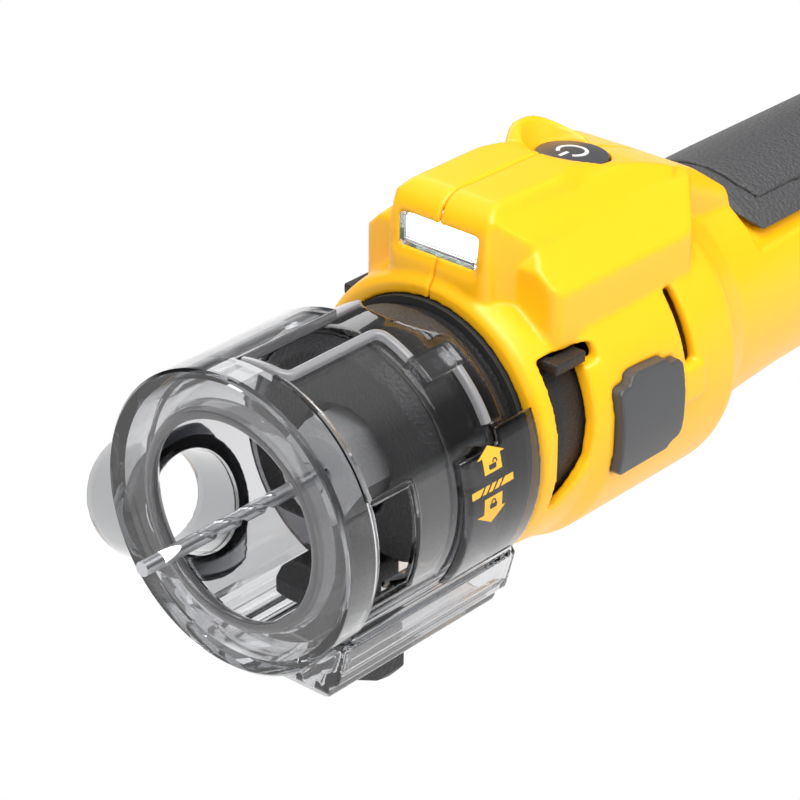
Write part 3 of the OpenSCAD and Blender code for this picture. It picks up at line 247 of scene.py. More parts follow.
def moulded(name, color, rough, grain_mm=0.35, bump=0.12, tone=0.06, metallic=0.0):
    """A solid finish with a slow change of tone and a fine grain."""
    material = bpy.data.materials.new(name)
    add = new_tree(material)
    where = add("ShaderNodeTexCoord").outputs["Object"]
    slow = add("ShaderNodeTexNoise", {"Vector": where, "Scale": TONE_SCALE, "Detail": 2.0}).outputs["Fac"]
    grain = {"Vector": where, "Scale": 1.0 / (grain_mm * MM), "Detail": 3.0, "Roughness": 0.55}
    fine = add("ShaderNodeTexNoise", grain).outputs["Fac"]
    dark = tuple(c * (1 - tone) for c in color) + (1,)
    light = tuple(min(1, c * (1 + tone)) for c in color) + (1,)
    shade = add("ShaderNodeMixRGB", {"Fac": slow, "Color1": dark, "Color2": light}).outputs[0]
    spread = {"Value": fine, "To Min": rough * ROUGH_LOW, "To Max": min(1, rough * ROUGH_HIGH)}
    roughness = add("ShaderNodeMapRange", spread).outputs[0]
    dents = {"Height": fine, "Strength": bump, "Distance": grain_mm * MM}
    relief = add("ShaderNodeBump", dents).outputs[0]
    skin = add("ShaderNodeBsdfPrincipled", {"Base Color": shade, "Roughness": roughness, "Normal": relief,
        "Metallic": metallic, "IOR": 1.5})
    add("ShaderNodeOutputMaterial", {"Surface": skin.outputs[0]})
    return material


FINISHES = {
    "yellow_shell": moulded("yellow_nylon", (1.0, 0.485, 0.006), 0.34, grain_mm=0.5, bump=0.05, tone=0.03),
    "black_plastic": moulded("black_nylon", (0.016, 0.016, 0.017), 0.42, grain_mm=0.8, bump=0.45),
    "dark_trim": moulded("charcoal_nylon", (0.060, 0.061, 0.064), 0.34, grain_mm=0.35, bump=0.15),
    "grip_rubber": moulded("grip_rubber", (0.064, 0.064, 0.067), 0.42, grain_mm=0.9, bump=0.8),
    "seal_rubber": moulded("seal_rubber", (0.02, 0.02, 0.02), 0.7, bump=0.1),
    "nut_steel": moulded("blasted_steel", (0.50, 0.50, 0.51), 0.28, grain_mm=0.15, bump=0.15, metallic=0.5),
    "bright_steel": moulded("ground_steel", (0.60, 0.61, 0.63), 0.3, grain_mm=0.2, bump=0.02, metallic=1.0),
    "turned_steel": moulded("turned_steel", (0.58, 0.59, 0.61), 0.28, grain_mm=0.2, bump=0.05, metallic=1.0),
    "screw_steel": moulded("black_steel", (0.10, 0.10, 0.11), 0.4, metallic=1.0),
    "lamination": moulded("lamination", (0.30, 0.31, 0.33), 0.45, metallic=1.0),
    "copper": moulded("enamelled_copper", (0.62, 0.24, 0.08), 0.3, metallic=1.0),
    "magnet": moulded("magnet", (0.12, 0.13, 0.15), 0.5, metallic=0.6),
    "circuit_board": moulded("solder_mask", (0.01, 0.10, 0.045), 0.3),
    "cell_wrap": moulded("cell_sleeve", (0.012, 0.016, 0.022), 0.45),
}

# %% [markdown]
# Clear plastic gets darker with its depth and bends what is seen through it. The lamps shine straight
# through it, because caustics would only bring noise. The guide's lips get a paler copy of the clear
# finish, a painted highlight, and its thick rim a darker copy, painted shade. Its rails and its port each
# have a tint of their own, so that they stand out against the tube as they do in life.

# %% Clear and smoked finishes
def see_through(name, color, rough, tint, density, shade, bend=1.5, clear=1.0):
    """Clear or smoked plastic: it darkens with its depth, mirrors a little and lets lamps shine through."""
    material = bpy.data.materials.new(name)
    add = new_tree(material)
    where = add("ShaderNodeTexCoord").outputs["Object"]
    wave = add("ShaderNodeTexNoise", {"Vector": where, "Scale": 90.0, "Detail": 1.0}).outputs["Fac"]
    relief = add("ShaderNodeBump", {"Height": wave, "Strength": 0.03, "Distance": 0.001}).outputs[0]
    skin = add("ShaderNodeBsdfPrincipled", {"Base Color": (*color, 1), "Roughness": rough, "IOR": bend,
        "Transmission Weight": clear, "Coat Weight": 1.0, "Coat Roughness": 0.03, "Normal": relief})
    ray = add("ShaderNodeLightPath").outputs
    lamplight = either(add, ray["Is Shadow Ray"], ray["Is Diffuse Ray"])
    straight = add("ShaderNodeBsdfTransparent", {"Color": (shade, shade, shade, 1)})
    surface = add("ShaderNodeMixShader", {0: lamplight, 1: skin.outputs[0], 2: straight.outputs[0]})
    volume = add("ShaderNodeVolumeAbsorption", {"Color": (*tint, 1), "Density": density})
    add("ShaderNodeOutputMaterial", {"Surface": surface.outputs[0], "Volume": volume.outputs[0]})
    return material


FINISHES["clear_plastic"] = see_through("clear_polycarbonate", (0.94, 0.94, 0.95), 0.02,
    tint=(0.45, 0.46, 0.48), density=115.0, shade=0.97, bend=1.35)
FINISHES["smoked_plastic"] = see_through("smoked_polycarbonate", (0.66, 0.66, 0.68), 0.05,
    tint=(0.35, 0.35, 0.37), density=500.0, shade=0.8, bend=1.2)
FINISHES["lens"] = see_through("lamp_lens", (1, 1, 1), 0.05,
    tint=(0.9, 0.9, 0.95), density=10.0, shade=1.0)
# A paler, partly opaque copy of the clear finish: a painted highlight for the slot and rear lips.
LIP_PAINTED_HIGHLIGHT = see_through("pale_polycarbonate_painted_highlight", (0.36, 0.36, 0.37), 0.12,
    tint=(0.6, 0.6, 0.62), density=60.0, shade=0.9, bend=1.35, clear=0.45)
# A darker, partly opaque copy of the clear finish: painted shade for the mouth's lip and the tongue's side.
RIM_PAINTED_SHADE = see_through("dark_polycarbonate_painted_shade", (0.16, 0.16, 0.165), 0.08,
    tint=(0.4, 0.4, 0.42), density=90.0, shade=0.9, bend=1.35, clear=0.5)
RAIL_FINISH = see_through("thin_polycarbonate", (0.94, 0.94, 0.95), 0.02,
    tint=(0.4, 0.41, 0.43), density=110.0, shade=0.95, bend=1.35)
PORT_FINISH = see_through("tinted_polycarbonate", (0.74, 0.74, 0.75), 0.02,
    tint=(0.4, 0.41, 0.43), density=380.0, shade=0.9, bend=1.35)

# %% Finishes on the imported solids
def dress(piece, material, smooth=False):
    """One material for the whole piece, with smooth shading where that is asked for."""
    piece.data.materials.clear()
    piece.data.materials.append(material)
    if smooth:
        piece.data.polygons.foreach_set("use_smooth", [True] * len(piece.data.polygons))


for node, piece in nodes.items():
    dress(piece, FINISHES[slot_of[node]])
print(len(FINISHES), "finishes")

# %% [markdown]
# ## Rounding the moulded pieces
# A moulded shell has no sharp edges: every corner of the mould has a small radius. Bevelling each edge
# by hand would take long on a shape with many cuts. A voxel remesh lays an even net over the solid
# instead, and a few rounds of averaging between neighbours round its edges all alike.
# A weight keeps chosen places, such as the parting line, crisper than the rest.

# %% Joining meshes and placing pieces
def solid(node):
    """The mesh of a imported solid."""
    return nodes[node].data


def link(name, mesh):
    """A new object around a mesh."""
    piece = bpy.data.objects.new(name, mesh)
    scene.collection.objects.link(piece)
    return piece


def joined(meshes):
    """One mesh out of several, as loose shells."""
    build = bmesh.new()
    for mesh in meshes:
        build.from_mesh(mesh)
    result = bpy.data.meshes.new("joined")
    build.to_mesh(result)
    build.free()
    return result


def applied(piece):
    """The piece, with its modifiers worked into its mesh."""
    graph = bpy.context.evaluated_depsgraph_get()
    mesh = bpy.data.meshes.new_from_object(piece.evaluated_get(graph))
    piece.modifiers.clear()
    piece.data = mesh
    return piece


def triangles_of(mesh):
    """The number of triangles that the mesh's faces come to."""
    return sum(len(face.vertices) - 2 for face in mesh.polygons)


def carried(piece, body):
    """The piece moves with a body."""
    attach(piece, body)
    return piece


def stand_in(piece, node):
    """The piece rides where a solid rides and hides it."""
    carried(piece, body_of[node])
    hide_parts(node)
    return piece


# %% Remeshing and smoothing
TRIANGLE_LIMIT = 190000


def averaged(mesh, rounds, weight=None):
    """Moves each point towards its neighbours, a few times over."""
    count = len(mesh.vertices)
    points = np.zeros(count * 3, np.float32)
    mesh.vertices.foreach_get("co", points)
    points = points.reshape(-1, 3).astype(float)
    ends = np.zeros(len(mesh.edges) * 2, np.int64)
    mesh.edges.foreach_get("vertices", ends)
    first, second = ends.reshape(-1, 2).T
    neighbours = np.bincount(ends, minlength=count).astype(float)
    pull = 0.5 * (np.ones(count) if weight is None else weight(points))

    def gathered(values):
        """The sum of the neighbours' values at each point."""
        return np.bincount(first, values[second], count) + np.bincount(second, values[first], count)

    for _ in range(rounds):
        sums = np.stack([gathered(points[:, k]) for k in range(3)], 1)
        points += pull[:, None] * (sums / neighbours[:, None] - points)
    mesh.vertices.foreach_set("co", points.astype(np.float32).ravel())
    mesh.update()


def rounded_piece(name, node, voxel_mm, rounds, material=None, weight=None):
    """A piece with rounded edges that stands for a solid."""
    piece = link(name, joined([solid(node)]))
    net = piece.modifiers.new("net", "REMESH")
    net.mode, net.voxel_size = "VOXEL", voxel_mm * MM
    applied(piece)
    averaged(piece.data, rounds, weight)
    triangles = 2 * len(piece.data.polygons)
    if triangles > TRIANGLE_LIMIT:
        thin = piece.modifiers.new("thin", "DECIMATE")
        thin.ratio = TRIANGLE_LIMIT / triangles
        applied(piece)
    dress(piece, material or FINISHES[slot_of[node]], smooth=True)
    print(name, triangles, "triangles before thinning,", triangles_of(piece.data), "after")
    return stand_in(piece, node)


# %% [markdown]
# ## The yellow shell
# The shell is two halves that meet on the tool's middle plane. Each half is rounded by itself, so the
# joint between them stays a real gap. Near that plane the smoothing is held back, or the joint would
# turn from a fine line into a wide groove.

# %% Shell halves
SHELL_NET_MM, SHELL_ROUNDS = 0.5, 6
SEAM_REACH, SEAM_WEIGHT = 0.0012, 0.25


def shell_weight(points):
    """Less smoothing next to the parting line."""
    from_seam = np.abs(points[:, 1])
    return np.where(from_seam < SEAM_REACH, SEAM_WEIGHT, 1.0)


for side in ("left", "right"):
    rounded_piece("shell_" + side, "housing_" + side, SHELL_NET_MM, SHELL_ROUNDS, weight=shell_weight)

# %% [markdown]
# ## Black mouldings
# The nose, the side pads, the grip, the lock pieces and the battery cases get the same rounding.
# Each has a net that suits its size: the smaller the piece, the smaller its edges.

# %% Nose, pads, grip, locks and battery
MOULDINGS = {
    "nose_case": (0.55, 4),
    "side_pad_left": (0.25, 4),
    "side_pad_right": (0.25, 4),
    "depth_lock": (0.3, 4),
    "spindle_lock_plate": (0.3, 3),
    "rubber_grip": (0.4, 4),
    "grip_pad": (0.35, 3),
    "battery_latch": (0.4, 4),
    "battery_case_front": (0.8, 4),
    "battery_case_rear": (0.8, 4),
}
for node, (voxel_mm, rounds) in MOULDINGS.items():
    rounded_piece(node + "_moulded", node, voxel_mm, rounds)

# %% [markdown]
# ## Shapes in round coordinates
# The marks, lips and beads of the shroud lie on a cylinder. It is easier to draw them on a flat sheet,
# with the length along the axis on one side and the bearing round it on the other, and then to roll
# the sheet up. A bearing of 0 looks to the tool's left, and 90 looks up.

# %% From the sheet to the cylinder
def on_cylinder(x_mm, bearing, radius_mm):
    """The point in metres at a station along the axis, a bearing in degrees and a radius."""
    angle = math.radians(bearing)
    return Vector((x_mm, -radius_mm * math.cos(angle), radius_mm * math.sin(angle))) * MM


def path_on_cylinder(corners, radius_mm, step_mm=1.5):
    """Points along straight runs of the rolled sheet between corners of station and bearing."""
    points = []
    for (x0, b0), (x1, b1) in zip(corners, corners[1:]):
        length = math.hypot(x1 - x0, math.radians(b1 - b0) * radius_mm)
        steps = max(1, round(length / step_mm))
        for i in range(steps):
            points.append(on_cylinder(x0 + (x1 - x0) * i / steps, b0 + (b1 - b0) * i / steps, radius_mm))
    return points + [on_cylinder(*corners[-1], radius_mm)]


# %% Rings, beads and turned shapes
def bridged(build, low, high):
    """Faces between two rings with the same number of points."""
    count = len(low)
    for j in range(count):
        k = (j + 1) % count
        build.faces.new((low[j], low[k], high[k], high[j]))


def closed_mesh(name, build):
    """The mesh of a build, with its faces outwards."""
    bmesh.ops.recalc_face_normals(build, faces=build.faces)
    mesh = bpy.data.meshes.new(name)
    build.to_mesh(mesh)
    build.free()
    return mesh


def tube_along(points, radius_mm, sides=10):
    """A round bead of a given radius along a run of points in metres."""
    build = bmesh.new()
    turns = [2 * math.pi * j / sides for j in range(sides)]
    last = len(points) - 1
    rings = []
    normal = None
    for i, point in enumerate(points):
        along = (points[min(i + 1, last)] - points[max(i - 1, 0)]).normalized()
        normal = normal or along.orthogonal()
        normal = (normal - along * normal.dot(along)).normalized()
        across = along.cross(normal)
        spokes = [(normal * math.cos(a) + across * math.sin(a)) * radius_mm * MM for a in turns]
        rings.append([build.verts.new(point + spoke) for spoke in spokes])
    for low, high in zip(rings, rings[1:]):
        bridged(build, low, high)
    build.faces.new(reversed(rings[0]))
    build.faces.new(rings[-1])
    return closed_mesh("bead", build)


def turned(profile, steps=128):
    """A closed ring turned about the X axis, from points of radius and station in millimetres."""
    build = bmesh.new()
    bearings = [360 * j / steps for j in range(steps)]
    rings = [[build.verts.new(on_cylinder(x, b, radius)) for b in bearings] for radius, x in profile]
    for low, high in zip(rings, rings[1:] + rings[:1]):
        bridged(build, low, high)
    return closed_mesh("turned", build)


# %% [markdown]
# ## The clear depth guide
# The guide is one moulding of clear polycarbonate: a front ring, a tube, rails below and a port for the
# dust hose. The ring and the tube stay crisp, because clear plastic shows every facet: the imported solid
# only gets a small radius on its sharp edges and a bead round its side window. The rails and the port
# are rounded like the black mouldings.

# %% The tube, with the bead round its window
GUIDE_R = 30.7
WINDOW_FRONT, WINDOW_BACK, WINDOW_LOW, WINDOW_HIGH = 9.8, 22.4, -23, 21
BEAD_R, BEAD_LIFT, TUBE_EDGE = 0.7, 0.1, 0.2
FLAT_ANGLE, EDGE_ANGLE, SHARP_ANGLE = (math.radians(a) for a in (0.5, 40, 28))


def merged(mesh, gap_mm=0.002):
    """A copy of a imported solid's loose triangles, with the points that lie on each other merged."""
    build = bmesh.new()
    build.from_mesh(mesh)
    bmesh.ops.remove_doubles(build, verts=build.verts, dist=gap_mm * MM)
    open_edges = sum(1 for edge in build.edges if not edge.is_manifold)
    result = bpy.data.meshes.new("merged")
    build.to_mesh(result)
    build.free()
    print("merged", len(result.vertices), "points,", open_edges, "open edges")
    return result


def with_bead(name, node, bead_mesh, bevel_mm):
    """A crisp piece: a bead is joined to the solid, and only its sharp edges get a small radius."""
    piece = link(name, merged(solid(node)))
    bead = link("bead", bead_mesh)
    flat = piece.modifiers.new("flat", "DECIMATE")
    flat.decimate_type, flat.angle_limit = "DISSOLVE", FLAT_ANGLE
    union = piece.modifiers.new("union", "BOOLEAN")
    union.operation, union.solver, union.object = "UNION", "MANIFOLD", bead
    edge = piece.modifiers.new("edge", "BEVEL")
    edge.width, edge.segments = bevel_mm * MM, 2
    edge.limit_method, edge.angle_limit = "ANGLE", EDGE_ANGLE
    applied(piece)
    bpy.data.objects.remove(bead)
    dress(piece, FINISHES[slot_of[node]], smooth=True)
    piece.data.set_sharp_from_angle(angle=SHARP_ANGLE)
    even = piece.modifiers.new("even", "WEIGHTED_NORMAL")
    even.keep_sharp = True
    applied(piece)
    print(name, triangles_of(piece.data), "triangles")
    return stand_in(piece, node)


window_corners = [(WINDOW_FRONT, WINDOW_LOW), (WINDOW_FRONT, WINDOW_HIGH), (WINDOW_BACK, WINDOW_HIGH),
    (WINDOW_BACK, WINDOW_LOW), (WINDOW_FRONT, WINDOW_LOW)]
window_rim = path_on_cylinder(window_corners, GUIDE_R + BEAD_LIFT)
with_bead("clear_guide_tube", "depth_guide", tube_along(window_rim, BEAD_R), TUBE_EDGE)

# %% [markdown]
# ### Lips
# Raised lips run along the slot, the tongue and the rear edge, where they catch the light. The slot and
# rear lips are paler, a painted highlight, and the tongue's side lip is darker, painted shade. Each follows
# a route of a few corners on the flat sheet. Geometry Nodes rounds the corners, sweeps a rectangle along
# the route and rolls it round the tube's axis.

# %% Lips along the free edges
LIP_WIDTH, LIP_TOP_R, LIP_FOOT_R, LIP_CORNER = 1.8, 32.3, 30.2, 2.2
LIP_EDGE, LIP_STEP = 0.5, 0.7
TONGUE_LIP_WIDTH = 0.5
SLOT_EDGE = [(9.6, 96.5), (10.8, 77.6), (37.4, 77.6), (37.4, 61)]
REAR_EDGE = [(46.0, 50), (46.0, 27)]
TONGUE_SIDE = [(9.6, 97.2), (36.8, 97.2)]


def lip_tree():
    """Geometry Nodes: sweeps a rectangle along a flat route and rolls it on a cylinder about X."""
    tree = bpy.data.node_groups.new("lip_on_cylinder", "GeometryNodeTree")
    tree.interface.new_socket("Geometry", in_out="INPUT", socket_type="NodeSocketGeometry")
    tree.interface.new_socket("Geometry", in_out="OUTPUT", socket_type="NodeSocketGeometry")
    for name in ("Width", "Height", "Corner", "Roll Radius"):
        tree.interface.new_socket(name, in_out="INPUT", socket_type="NodeSocketFloat")
    tree.interface.new_socket("Finish", in_out="INPUT", socket_type="NodeSocketMaterial")
    add_node = adder(tree)

    def add(kind, inputs=None, **settings):
        """Adds a node and returns its only output, or all of them."""
        outputs = add_node(kind, inputs, **settings).outputs
        return outputs[0] if len(outputs) == 1 else outputs

    def maths(operation, first, second=0.0):
        return add("ShaderNodeMath", {0: first, 1: second}, operation=operation)

    def filleted(curve, radius, count):
        inputs = {"Curve": curve, "Radius": radius, "Count": count, "Limit Radius": True}
        return add("GeometryNodeFilletCurve", inputs, mode="POLY")

    sizes = add("NodeGroupInput")
    route = add("GeometryNodeMeshToCurve", {"Mesh": sizes["Geometry"]})
    bent = filleted(route, sizes["Corner"], count=5)
    even = add("GeometryNodeResampleCurve", {"Curve": bent, "Length": LIP_STEP * MM}, mode="LENGTH")
    upright = add("GeometryNodeSetCurveNormal", {"Curve": even}, mode="Z_UP")
    rectangle = {"Width": sizes["Width"], "Height": sizes["Height"]}
    outline = add("GeometryNodeCurvePrimitiveQuadrilateral", rectangle)
    soft = filleted(outline, LIP_EDGE * MM, count=3)
    swept = add("GeometryNodeCurveToMesh", {"Curve": upright, "Profile Curve": soft, "Fill Caps": True})
    flat = add("ShaderNodeSeparateXYZ", {0: add("GeometryNodeInputPosition")})
    turn = maths("DIVIDE", flat["Y"], sizes["Roll Radius"])
    reach = maths("ADD", flat["Z"], sizes["Roll Radius"])
    left = maths("MULTIPLY", maths("MULTIPLY", reach, maths("COSINE", turn)), -1.0)
    up = maths("MULTIPLY", reach, maths("SINE", turn))
    rolled = add("ShaderNodeCombineXYZ", {"X": flat["X"], "Y": left, "Z": up})
    placed = add("GeometryNodeSetPosition", {"Geometry": swept, "Position": rolled})
    painted = add("GeometryNodeSetMaterial", {"Geometry": placed, "Material": sizes["Finish"]})
    real = add("GeometryNodeRealizeInstances", {"Geometry": painted})
    add("NodeGroupOutput", {"Geometry": real})
    return tree


LIP_TREE = lip_tree()


def lip_along(corners, width, finish):
    """The mesh of a lip whose route is given by corners of station and bearing."""
    middle = (LIP_TOP_R + LIP_FOOT_R) / 2 - GUIDE_R
    points = [(x * MM, math.radians(bearing) * GUIDE_R * MM, middle * MM) for x, bearing in corners]
    mesh = bpy.data.meshes.new("route")
    mesh.from_pydata(points, [(i, i + 1) for i in range(len(points) - 1)], [])
    piece = link("route", mesh)
    grown = piece.modifiers.new("lip", "NODES")
    grown.node_group = LIP_TREE
    sizes = {"Width": width, "Height": LIP_TOP_R - LIP_FOOT_R, "Corner": LIP_CORNER, "Roll Radius": GUIDE_R}
    for item in LIP_TREE.interface.items_tree:
        if item.name in sizes:
            grown[item.identifier] = sizes[item.name] * MM
        if item.name == "Finish":
            grown[item.identifier] = finish
    lip = applied(piece).data
    print("lip of", len(lip.polygons), "faces")
    bpy.data.objects.remove(piece)
    return lip


def lips(name, routes, finish, width=LIP_WIDTH):
    """A piece of the lips along some routes."""
    piece = link(name, joined([lip_along(route, width, finish) for route in routes]))
    dress(piece, finish)
    carried(piece, "depth_guide")


# The slot and rear lips take the paler finish, a painted highlight.
lips("slot_and_rear_lips", [SLOT_EDGE, REAR_EDGE], LIP_PAINTED_HIGHLIGHT)
# The tongue's side lip takes the darker finish, painted shade.
lips("tongue_side", [TONGUE_SIDE], RIM_PAINTED_SHADE, TONGUE_LIP_WIDTH)

# %% The mouth's lip, the rails and the port
MOUTH_R = 21.55
MOUTH_PROFILE = [(0, 1.9), (0.1, 1.45), (0.45, 1.25), (1.9, 1.25), (2.2, 1.7), (2.5, 3.0), (3.5, 5.0),
    (3.3, 5.7), (2.9, 5.9), (1.9, 5.5), (0.45, 3.5), (0.1, 2.6)]
GUIDE_NET_MM, GUIDE_ROUNDS = 0.4, 2

# The mouth's lip takes the darker finish, painted shade.
mouth = link("clear_mouth_lip", turned([(MOUTH_R + out, x) for out, x in MOUTH_PROFILE]))
dress(mouth, RIM_PAINTED_SHADE, smooth=True)
carried(mouth, "depth_guide")
for node, finish in (("guide_rails", RAIL_FINISH), ("dust_port", PORT_FINISH)):
    rounded_piece(node + "_moulded", node, GUIDE_NET_MM, GUIDE_ROUNDS, material=finish)

# %% [markdown]
# ## The smoked mount and its marks
# The mount turns a little on the nose to lock the guide. Its tab shows two arrows and a striped bar in
# yellow paint: one arrow with an open padlock, one with a closed padlock.

# %% Smoked mount
MOUNT_NET_MM, MOUNT_ROUNDS = 0.4, 4

rounded_piece("smoked_mount", "shroud_mount", MOUNT_NET_MM, MOUNT_ROUNDS)

# %% Painted marks as thin rolled sheets
SHEET_STEP = 1.0


def paint(name, color):
    """A smooth paint."""
    return moulded(name, color, 0.4, grain_mm=0.3, bump=0.02, tone=0.02)


def thickened(name, build, thick_mm, material, body):
    """A thin closed piece out of a sheet of faces."""
    mesh = closed_mesh(name, build)
    mesh.materials.append(material)
    piece = link(name, mesh)
    wall = piece.modifiers.new("wall", "SOLIDIFY")
    wall.thickness, wall.offset = thick_mm * MM, 0
    return carried(applied(piece), body)


def rolled_sheet(name, outlines, radius_mm, thick_mm, material):
    """Flat outlines of station and bearing, cut fine, rolled on a cylinder and given a thickness."""
    build = bmesh.new()
    for outline in outlines:
        build.faces.new([build.verts.new((x, b, 0)) for x, b in outline])
    for axis in (Vector((1, 0, 0)), Vector((0, 1, 0))):
        places = [vert.co.dot(axis) for vert in build.verts]
        first, last = math.floor(min(places) / SHEET_STEP), math.ceil(max(places) / SHEET_STEP)
        for i in range(first, last):
            everything = build.verts[:] + build.edges[:] + build.faces[:]
            bmesh.ops.bisect_plane(build, geom=everything, plane_co=axis * i * SHEET_STEP, plane_no=axis)
    for vert in build.verts:
        vert.co = on_cylinder(vert.co.x, vert.co.y, radius_mm)
    return thickened(name, build, thick_mm, material, "shroud_mount")


# %% Arrows and the striped bar
TAB_R = 32.62
MARK_THICK = 0.06
MARK_PAINT = paint("mark_paint", (0.85, 0.45, 0.03))
UP_ARROW = [(43.2, 20.4), (47.6, 16.3), (46.2, 16.3), (46.2, 10.4), (40.9, 10.4), (40.9, 16.7), (39.4, 16.7)]
DOWN_ARROW = [(40.4, 1.4), (45.8, 1.4), (45.8, -4.2), (47.0, -4.4), (43.0, -9.4), (38.4, -4.8), (40.4, -4.8)]
BAR_FROM, BAR_TO, BAR_LOW, BAR_HIGH, BAR_LEAN = 36.6, 49.3, 3.6, 6.4, 1.3
FIRST_BLOCK_TO, LAST_BLOCK_FROM = BAR_FROM + 2.4, BAR_FROM + 8.8
STRIPES_FROM, STRIPE_PITCH, STRIPE_WIDTH, STRIPES = BAR_FROM + 3.1, 1.9, 1.2, 3


def slanted(low_left, low_right, high_right, high_left):
    """The outline of a part of the bar, from where its four corners are along the axis."""
    return [(low_left, BAR_LOW), (low_right, BAR_LOW), (high_right, BAR_HIGH), (high_left, BAR_HIGH)]


def striped_bar():
    """The bar: a block at each end, and slanted stripes between them."""
    pieces = [slanted(BAR_FROM, FIRST_BLOCK_TO, FIRST_BLOCK_TO + BAR_LEAN, BAR_FROM)]
    for i in range(STRIPES):
        left = STRIPES_FROM + STRIPE_PITCH * i
        right = left + STRIPE_WIDTH
        pieces.append(slanted(left, right, right + BAR_LEAN, left + BAR_LEAN))
    pieces.append(slanted(LAST_BLOCK_FROM, BAR_TO, BAR_TO, LAST_BLOCK_FROM + BAR_LEAN))
    return pieces


marks = [UP_ARROW, DOWN_ARROW] + striped_bar()
rolled_sheet("lock_marks", marks, TAB_R, MARK_THICK, MARK_PAINT)

# %% Padlocks on the arrows
INK_LIFT, INK_THICK = 0.06, 0.04
MARK_INK = paint("mark_ink", (0.03, 0.03, 0.032))
LOCK_BODY = [(-0.9, -1.0), (0.9, -1.0), (1.1, -0.6), (1.1, 0.1), (-1.1, 0.1), (-1.1, -0.6)]
SHACKLE_OUT, SHACKLE_IN = 0.75, 0.42
SHACKLE_OUT_H, SHACKLE_IN_H = 0.85, 0.52
SHACKLE_ARCH, SHACKLE_FOOT, SHACKLE_SHIFT = 0.3, 0.1, 0.8
ARCH_STEPS = 8
OPEN_LOCK_AT, CLOSED_LOCK_AT = (43.5, 13.3), (43.1, -1.6)


def arch(half_width, height):
    """The upper half of an oval above the shackle's legs, from right to left."""
    turns = [math.pi * i / ARCH_STEPS for i in range(ARCH_STEPS + 1)]
    return [(half_width * math.cos(a), SHACKLE_ARCH + height * math.sin(a)) for a in turns]


def padlock(x, bearing, is_open):
    """A padlock of a body and a bent shackle, whose left leg ends high where the lock is open."""
    per_degree = math.radians(1) * TAB_R
    left_foot = SHACKLE_ARCH if is_open else SHACKLE_FOOT
    shift = SHACKLE_SHIFT if is_open else 0.0
    outside = [(SHACKLE_OUT, SHACKLE_FOOT)] + arch(SHACKLE_OUT, SHACKLE_OUT_H) + [(-SHACKLE_OUT, left_foot)]
    inside = [(SHACKLE_IN, SHACKLE_FOOT)] + arch(SHACKLE_IN, SHACKLE_IN_H) + [(-SHACKLE_IN, left_foot)]
    shackle = outside + inside[::-1]
    return [[(x + dx, bearing + dy / per_degree) for dx, dy in LOCK_BODY],
        [(x + dx + shift, bearing + dy / per_degree) for dx, dy in shackle]]


padlocks = padlock(*OPEN_LOCK_AT, True) + padlock(*CLOSED_LOCK_AT, False)
rolled_sheet("padlock_marks", padlocks, TAB_R + INK_LIFT, INK_THICK, MARK_INK)

# %% [markdown]
# ## Springs
# Each small coil sits between a moving piece and the case around it.

# %% Springs that follow their joints
def coil_piece(name):
    """A copy of a coil that rides where the coil rides, with the coil's finish."""
    coil = link(name + "_coil", merged(solid(name)))
    dress(coil, FINISHES[slot_of[name]])
    stand_in(coil, name)
    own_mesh(coil)


coil_piece("power_button_spring")
coil_piece("battery_latch_spring")
coil_piece("spindle_lock_spring_left")
coil_piece("spindle_lock_spring_right")

# %% [markdown]
# ## Lamp
# Behind the clear window stands a lit plate, with a bright metal sill below it and a bright wall at its
# right end. From outside the window looks full of light, with a metal edge.

# %% Lamp light and tray
LIGHT_STRENGTH = 4.0
LIGHT_FRONT, LIGHT_BACK, LIGHT_BELOW, LIGHT_ABOVE, LIGHT_EDGE = 2.2, 2.6, 2.0, 2.9, 0.15
LIGHT_LEFT, LIGHT_RIGHT = -9.2, 8.6
TRAY_FRONT, TRAY_BACK, TRAY_END, TRAY_EDGE = 0.9, 2.1, 9.3, 0.2
TRAY_BELOW, TRAY_ABOVE, SILL_TOP, WALL_FROM = 2.9, 3.2, 2.1, 8.6

lens_low, lens_high = (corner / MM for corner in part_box("led_lens"))
lens_x = lens_low.x
lamp_z = (lens_low.z + lens_high.z) / 2


def glowing(name, strength):
    """A lit surface with a faint change of tone."""
    material = bpy.data.materials.new(name)
    add = new_tree(material)
    where = add("ShaderNodeTexCoord").outputs["Object"]
    cells = add("ShaderNodeTexNoise", {"Vector": where, "Scale": 300.0}).outputs["Fac"]
    tone = add("ShaderNodeMixRGB", {"Fac": cells, "Color1": (1, 1, 1, 1), "Color2": (0.93, 0.97, 1, 1)})
    light = add("ShaderNodeEmission", {"Color": tone.outputs[0], "Strength": strength})
    add("ShaderNodeOutputMaterial", {"Surface": light.outputs[0]})
    return material


def block_mesh(low, high, bevel_mm):
    """A box between two corners in millimetres, with its edges rounded."""
    build = bmesh.new()
    bmesh.ops.create_cube(build, size=1)
    for vert in build.verts:
        vert.co = Vector(((l + h) / 2 + (h - l) * c for l, h, c in zip(low, high, vert.co))) * MM
    bmesh.ops.bevel(build, geom=build.edges[:], offset=bevel_mm * MM, segments=3, profile=0.5,
        affect="EDGES")
    mesh = bpy.data.meshes.new("block")
    build.to_mesh(mesh)
    build.free()
    return mesh


def lamp_light():
    """The lit plate behind the window."""
    plate = block_mesh((lens_x + LIGHT_FRONT, LIGHT_LEFT, lamp_z - LIGHT_BELOW),
        (lens_x + LIGHT_BACK, LIGHT_RIGHT, lamp_z + LIGHT_ABOVE), LIGHT_EDGE)
    light = link("lamp_light", plate)
    dress(light, glowing("lamp_light", LIGHT_STRENGTH))
    carried(light, "housing")


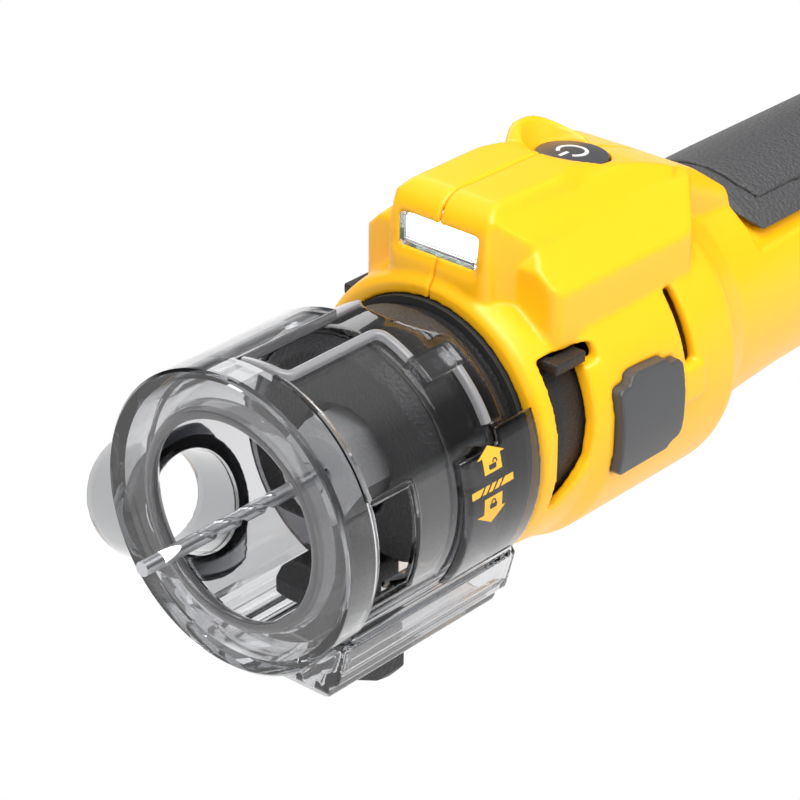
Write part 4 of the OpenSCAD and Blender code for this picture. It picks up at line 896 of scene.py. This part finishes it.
def lamp_tray():
    """A bright sill below the light and a bright wall at its right end, just inside the window."""
    front, back = lens_x + TRAY_FRONT, lens_x + TRAY_BACK
    foot = lamp_z - TRAY_BELOW
    sill = block_mesh((front, -TRAY_END, foot), (back, TRAY_END, lamp_z - SILL_TOP), TRAY_EDGE)
    wall = block_mesh((front, WALL_FROM, foot), (back, TRAY_END, lamp_z + TRAY_ABOVE), TRAY_EDGE)
    tray = link("lamp_tray", joined([sill, wall]))
    dress(tray, FINISHES["turned_steel"])
    carried(tray, "housing")


lamp_light()
lamp_tray()

# %% [markdown]
# ## Power button
# The button is a shallow dome that leans back with the roof. It carries the usual power sign: a
# ring with a gap and a bar through the gap. The sign is drawn flat as two narrow strips and then laid
# on the dome, whose top, lean and radius are known, so it keeps its width wherever the dome curves.

# %% Button
BUTTON_NET_MM, BUTTON_ROUNDS = 0.2, 4

rounded_piece("power_button_dome", "power_button", BUTTON_NET_MM, BUTTON_ROUNDS)

# %% Power sign
DOME_R, DOME_LEAN = 55.0, math.radians(5)
SIGN_R, SIGN_HALF_WIDTH, SIGN_GAP, SIGN_STEPS = 3.1, 0.42, 38, 40
SIGN_BAR_FROM, SIGN_BAR_STEP, SIGN_BAR_POINTS = -4.4, 0.4, 8
SIGN_LIFT, SIGN_THICK = 0.05, 0.1
SIGN_PAINT = paint("sign_paint", (0.72, 0.72, 0.72))

button_low, button_high = (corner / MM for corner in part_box("power_button"))
button_x = (button_low.x + button_high.x) / 2
lean = Matrix.Rotation(DOME_LEAN, 4, "Y")
dome_top = Vector((button_x, 0, button_high.z - DOME_R * (1 - math.cos(DOME_LEAN))))


def on_dome(flat):
    """The place in metres of a flat point of the sign, in millimetres from the dome's top."""
    sunk = DOME_R - math.sqrt(DOME_R ** 2 - flat.length_squared)
    return (lean @ Vector((flat.x, flat.y, SIGN_LIFT - sunk)) + dome_top) * MM


def strip(build, points, half_width):
    """A band of even width along flat points."""
    last = len(points) - 1
    rows = []
    for i, point in enumerate(points):
        along = (points[min(i + 1, last)] - points[max(i - 1, 0)]).normalized()
        side = Vector((-along.y, along.x)) * half_width
        rows.append([build.verts.new(on_dome(point - side)), build.verts.new(on_dome(point + side))])
    for near, far in zip(rows, rows[1:]):
        build.faces.new((near[0], near[1], far[1], far[0]))


def power_sign():
    """The ring with its gap, and the bar through the gap."""
    build = bmesh.new()
    sweep = 360 - 2 * SIGN_GAP
    turns = [math.radians(SIGN_GAP + sweep * i / SIGN_STEPS) for i in range(SIGN_STEPS + 1)]
    ring = [Vector((-math.cos(a), math.sin(a))) * SIGN_R for a in turns]
    bar = [Vector((SIGN_BAR_STEP * i + SIGN_BAR_FROM, 0)) for i in range(SIGN_BAR_POINTS)]
    strip(build, ring, SIGN_HALF_WIDTH)
    strip(build, bar, SIGN_HALF_WIDTH)
    thickened("power_sign", build, SIGN_THICK, SIGN_PAINT, "power_button")


power_sign()
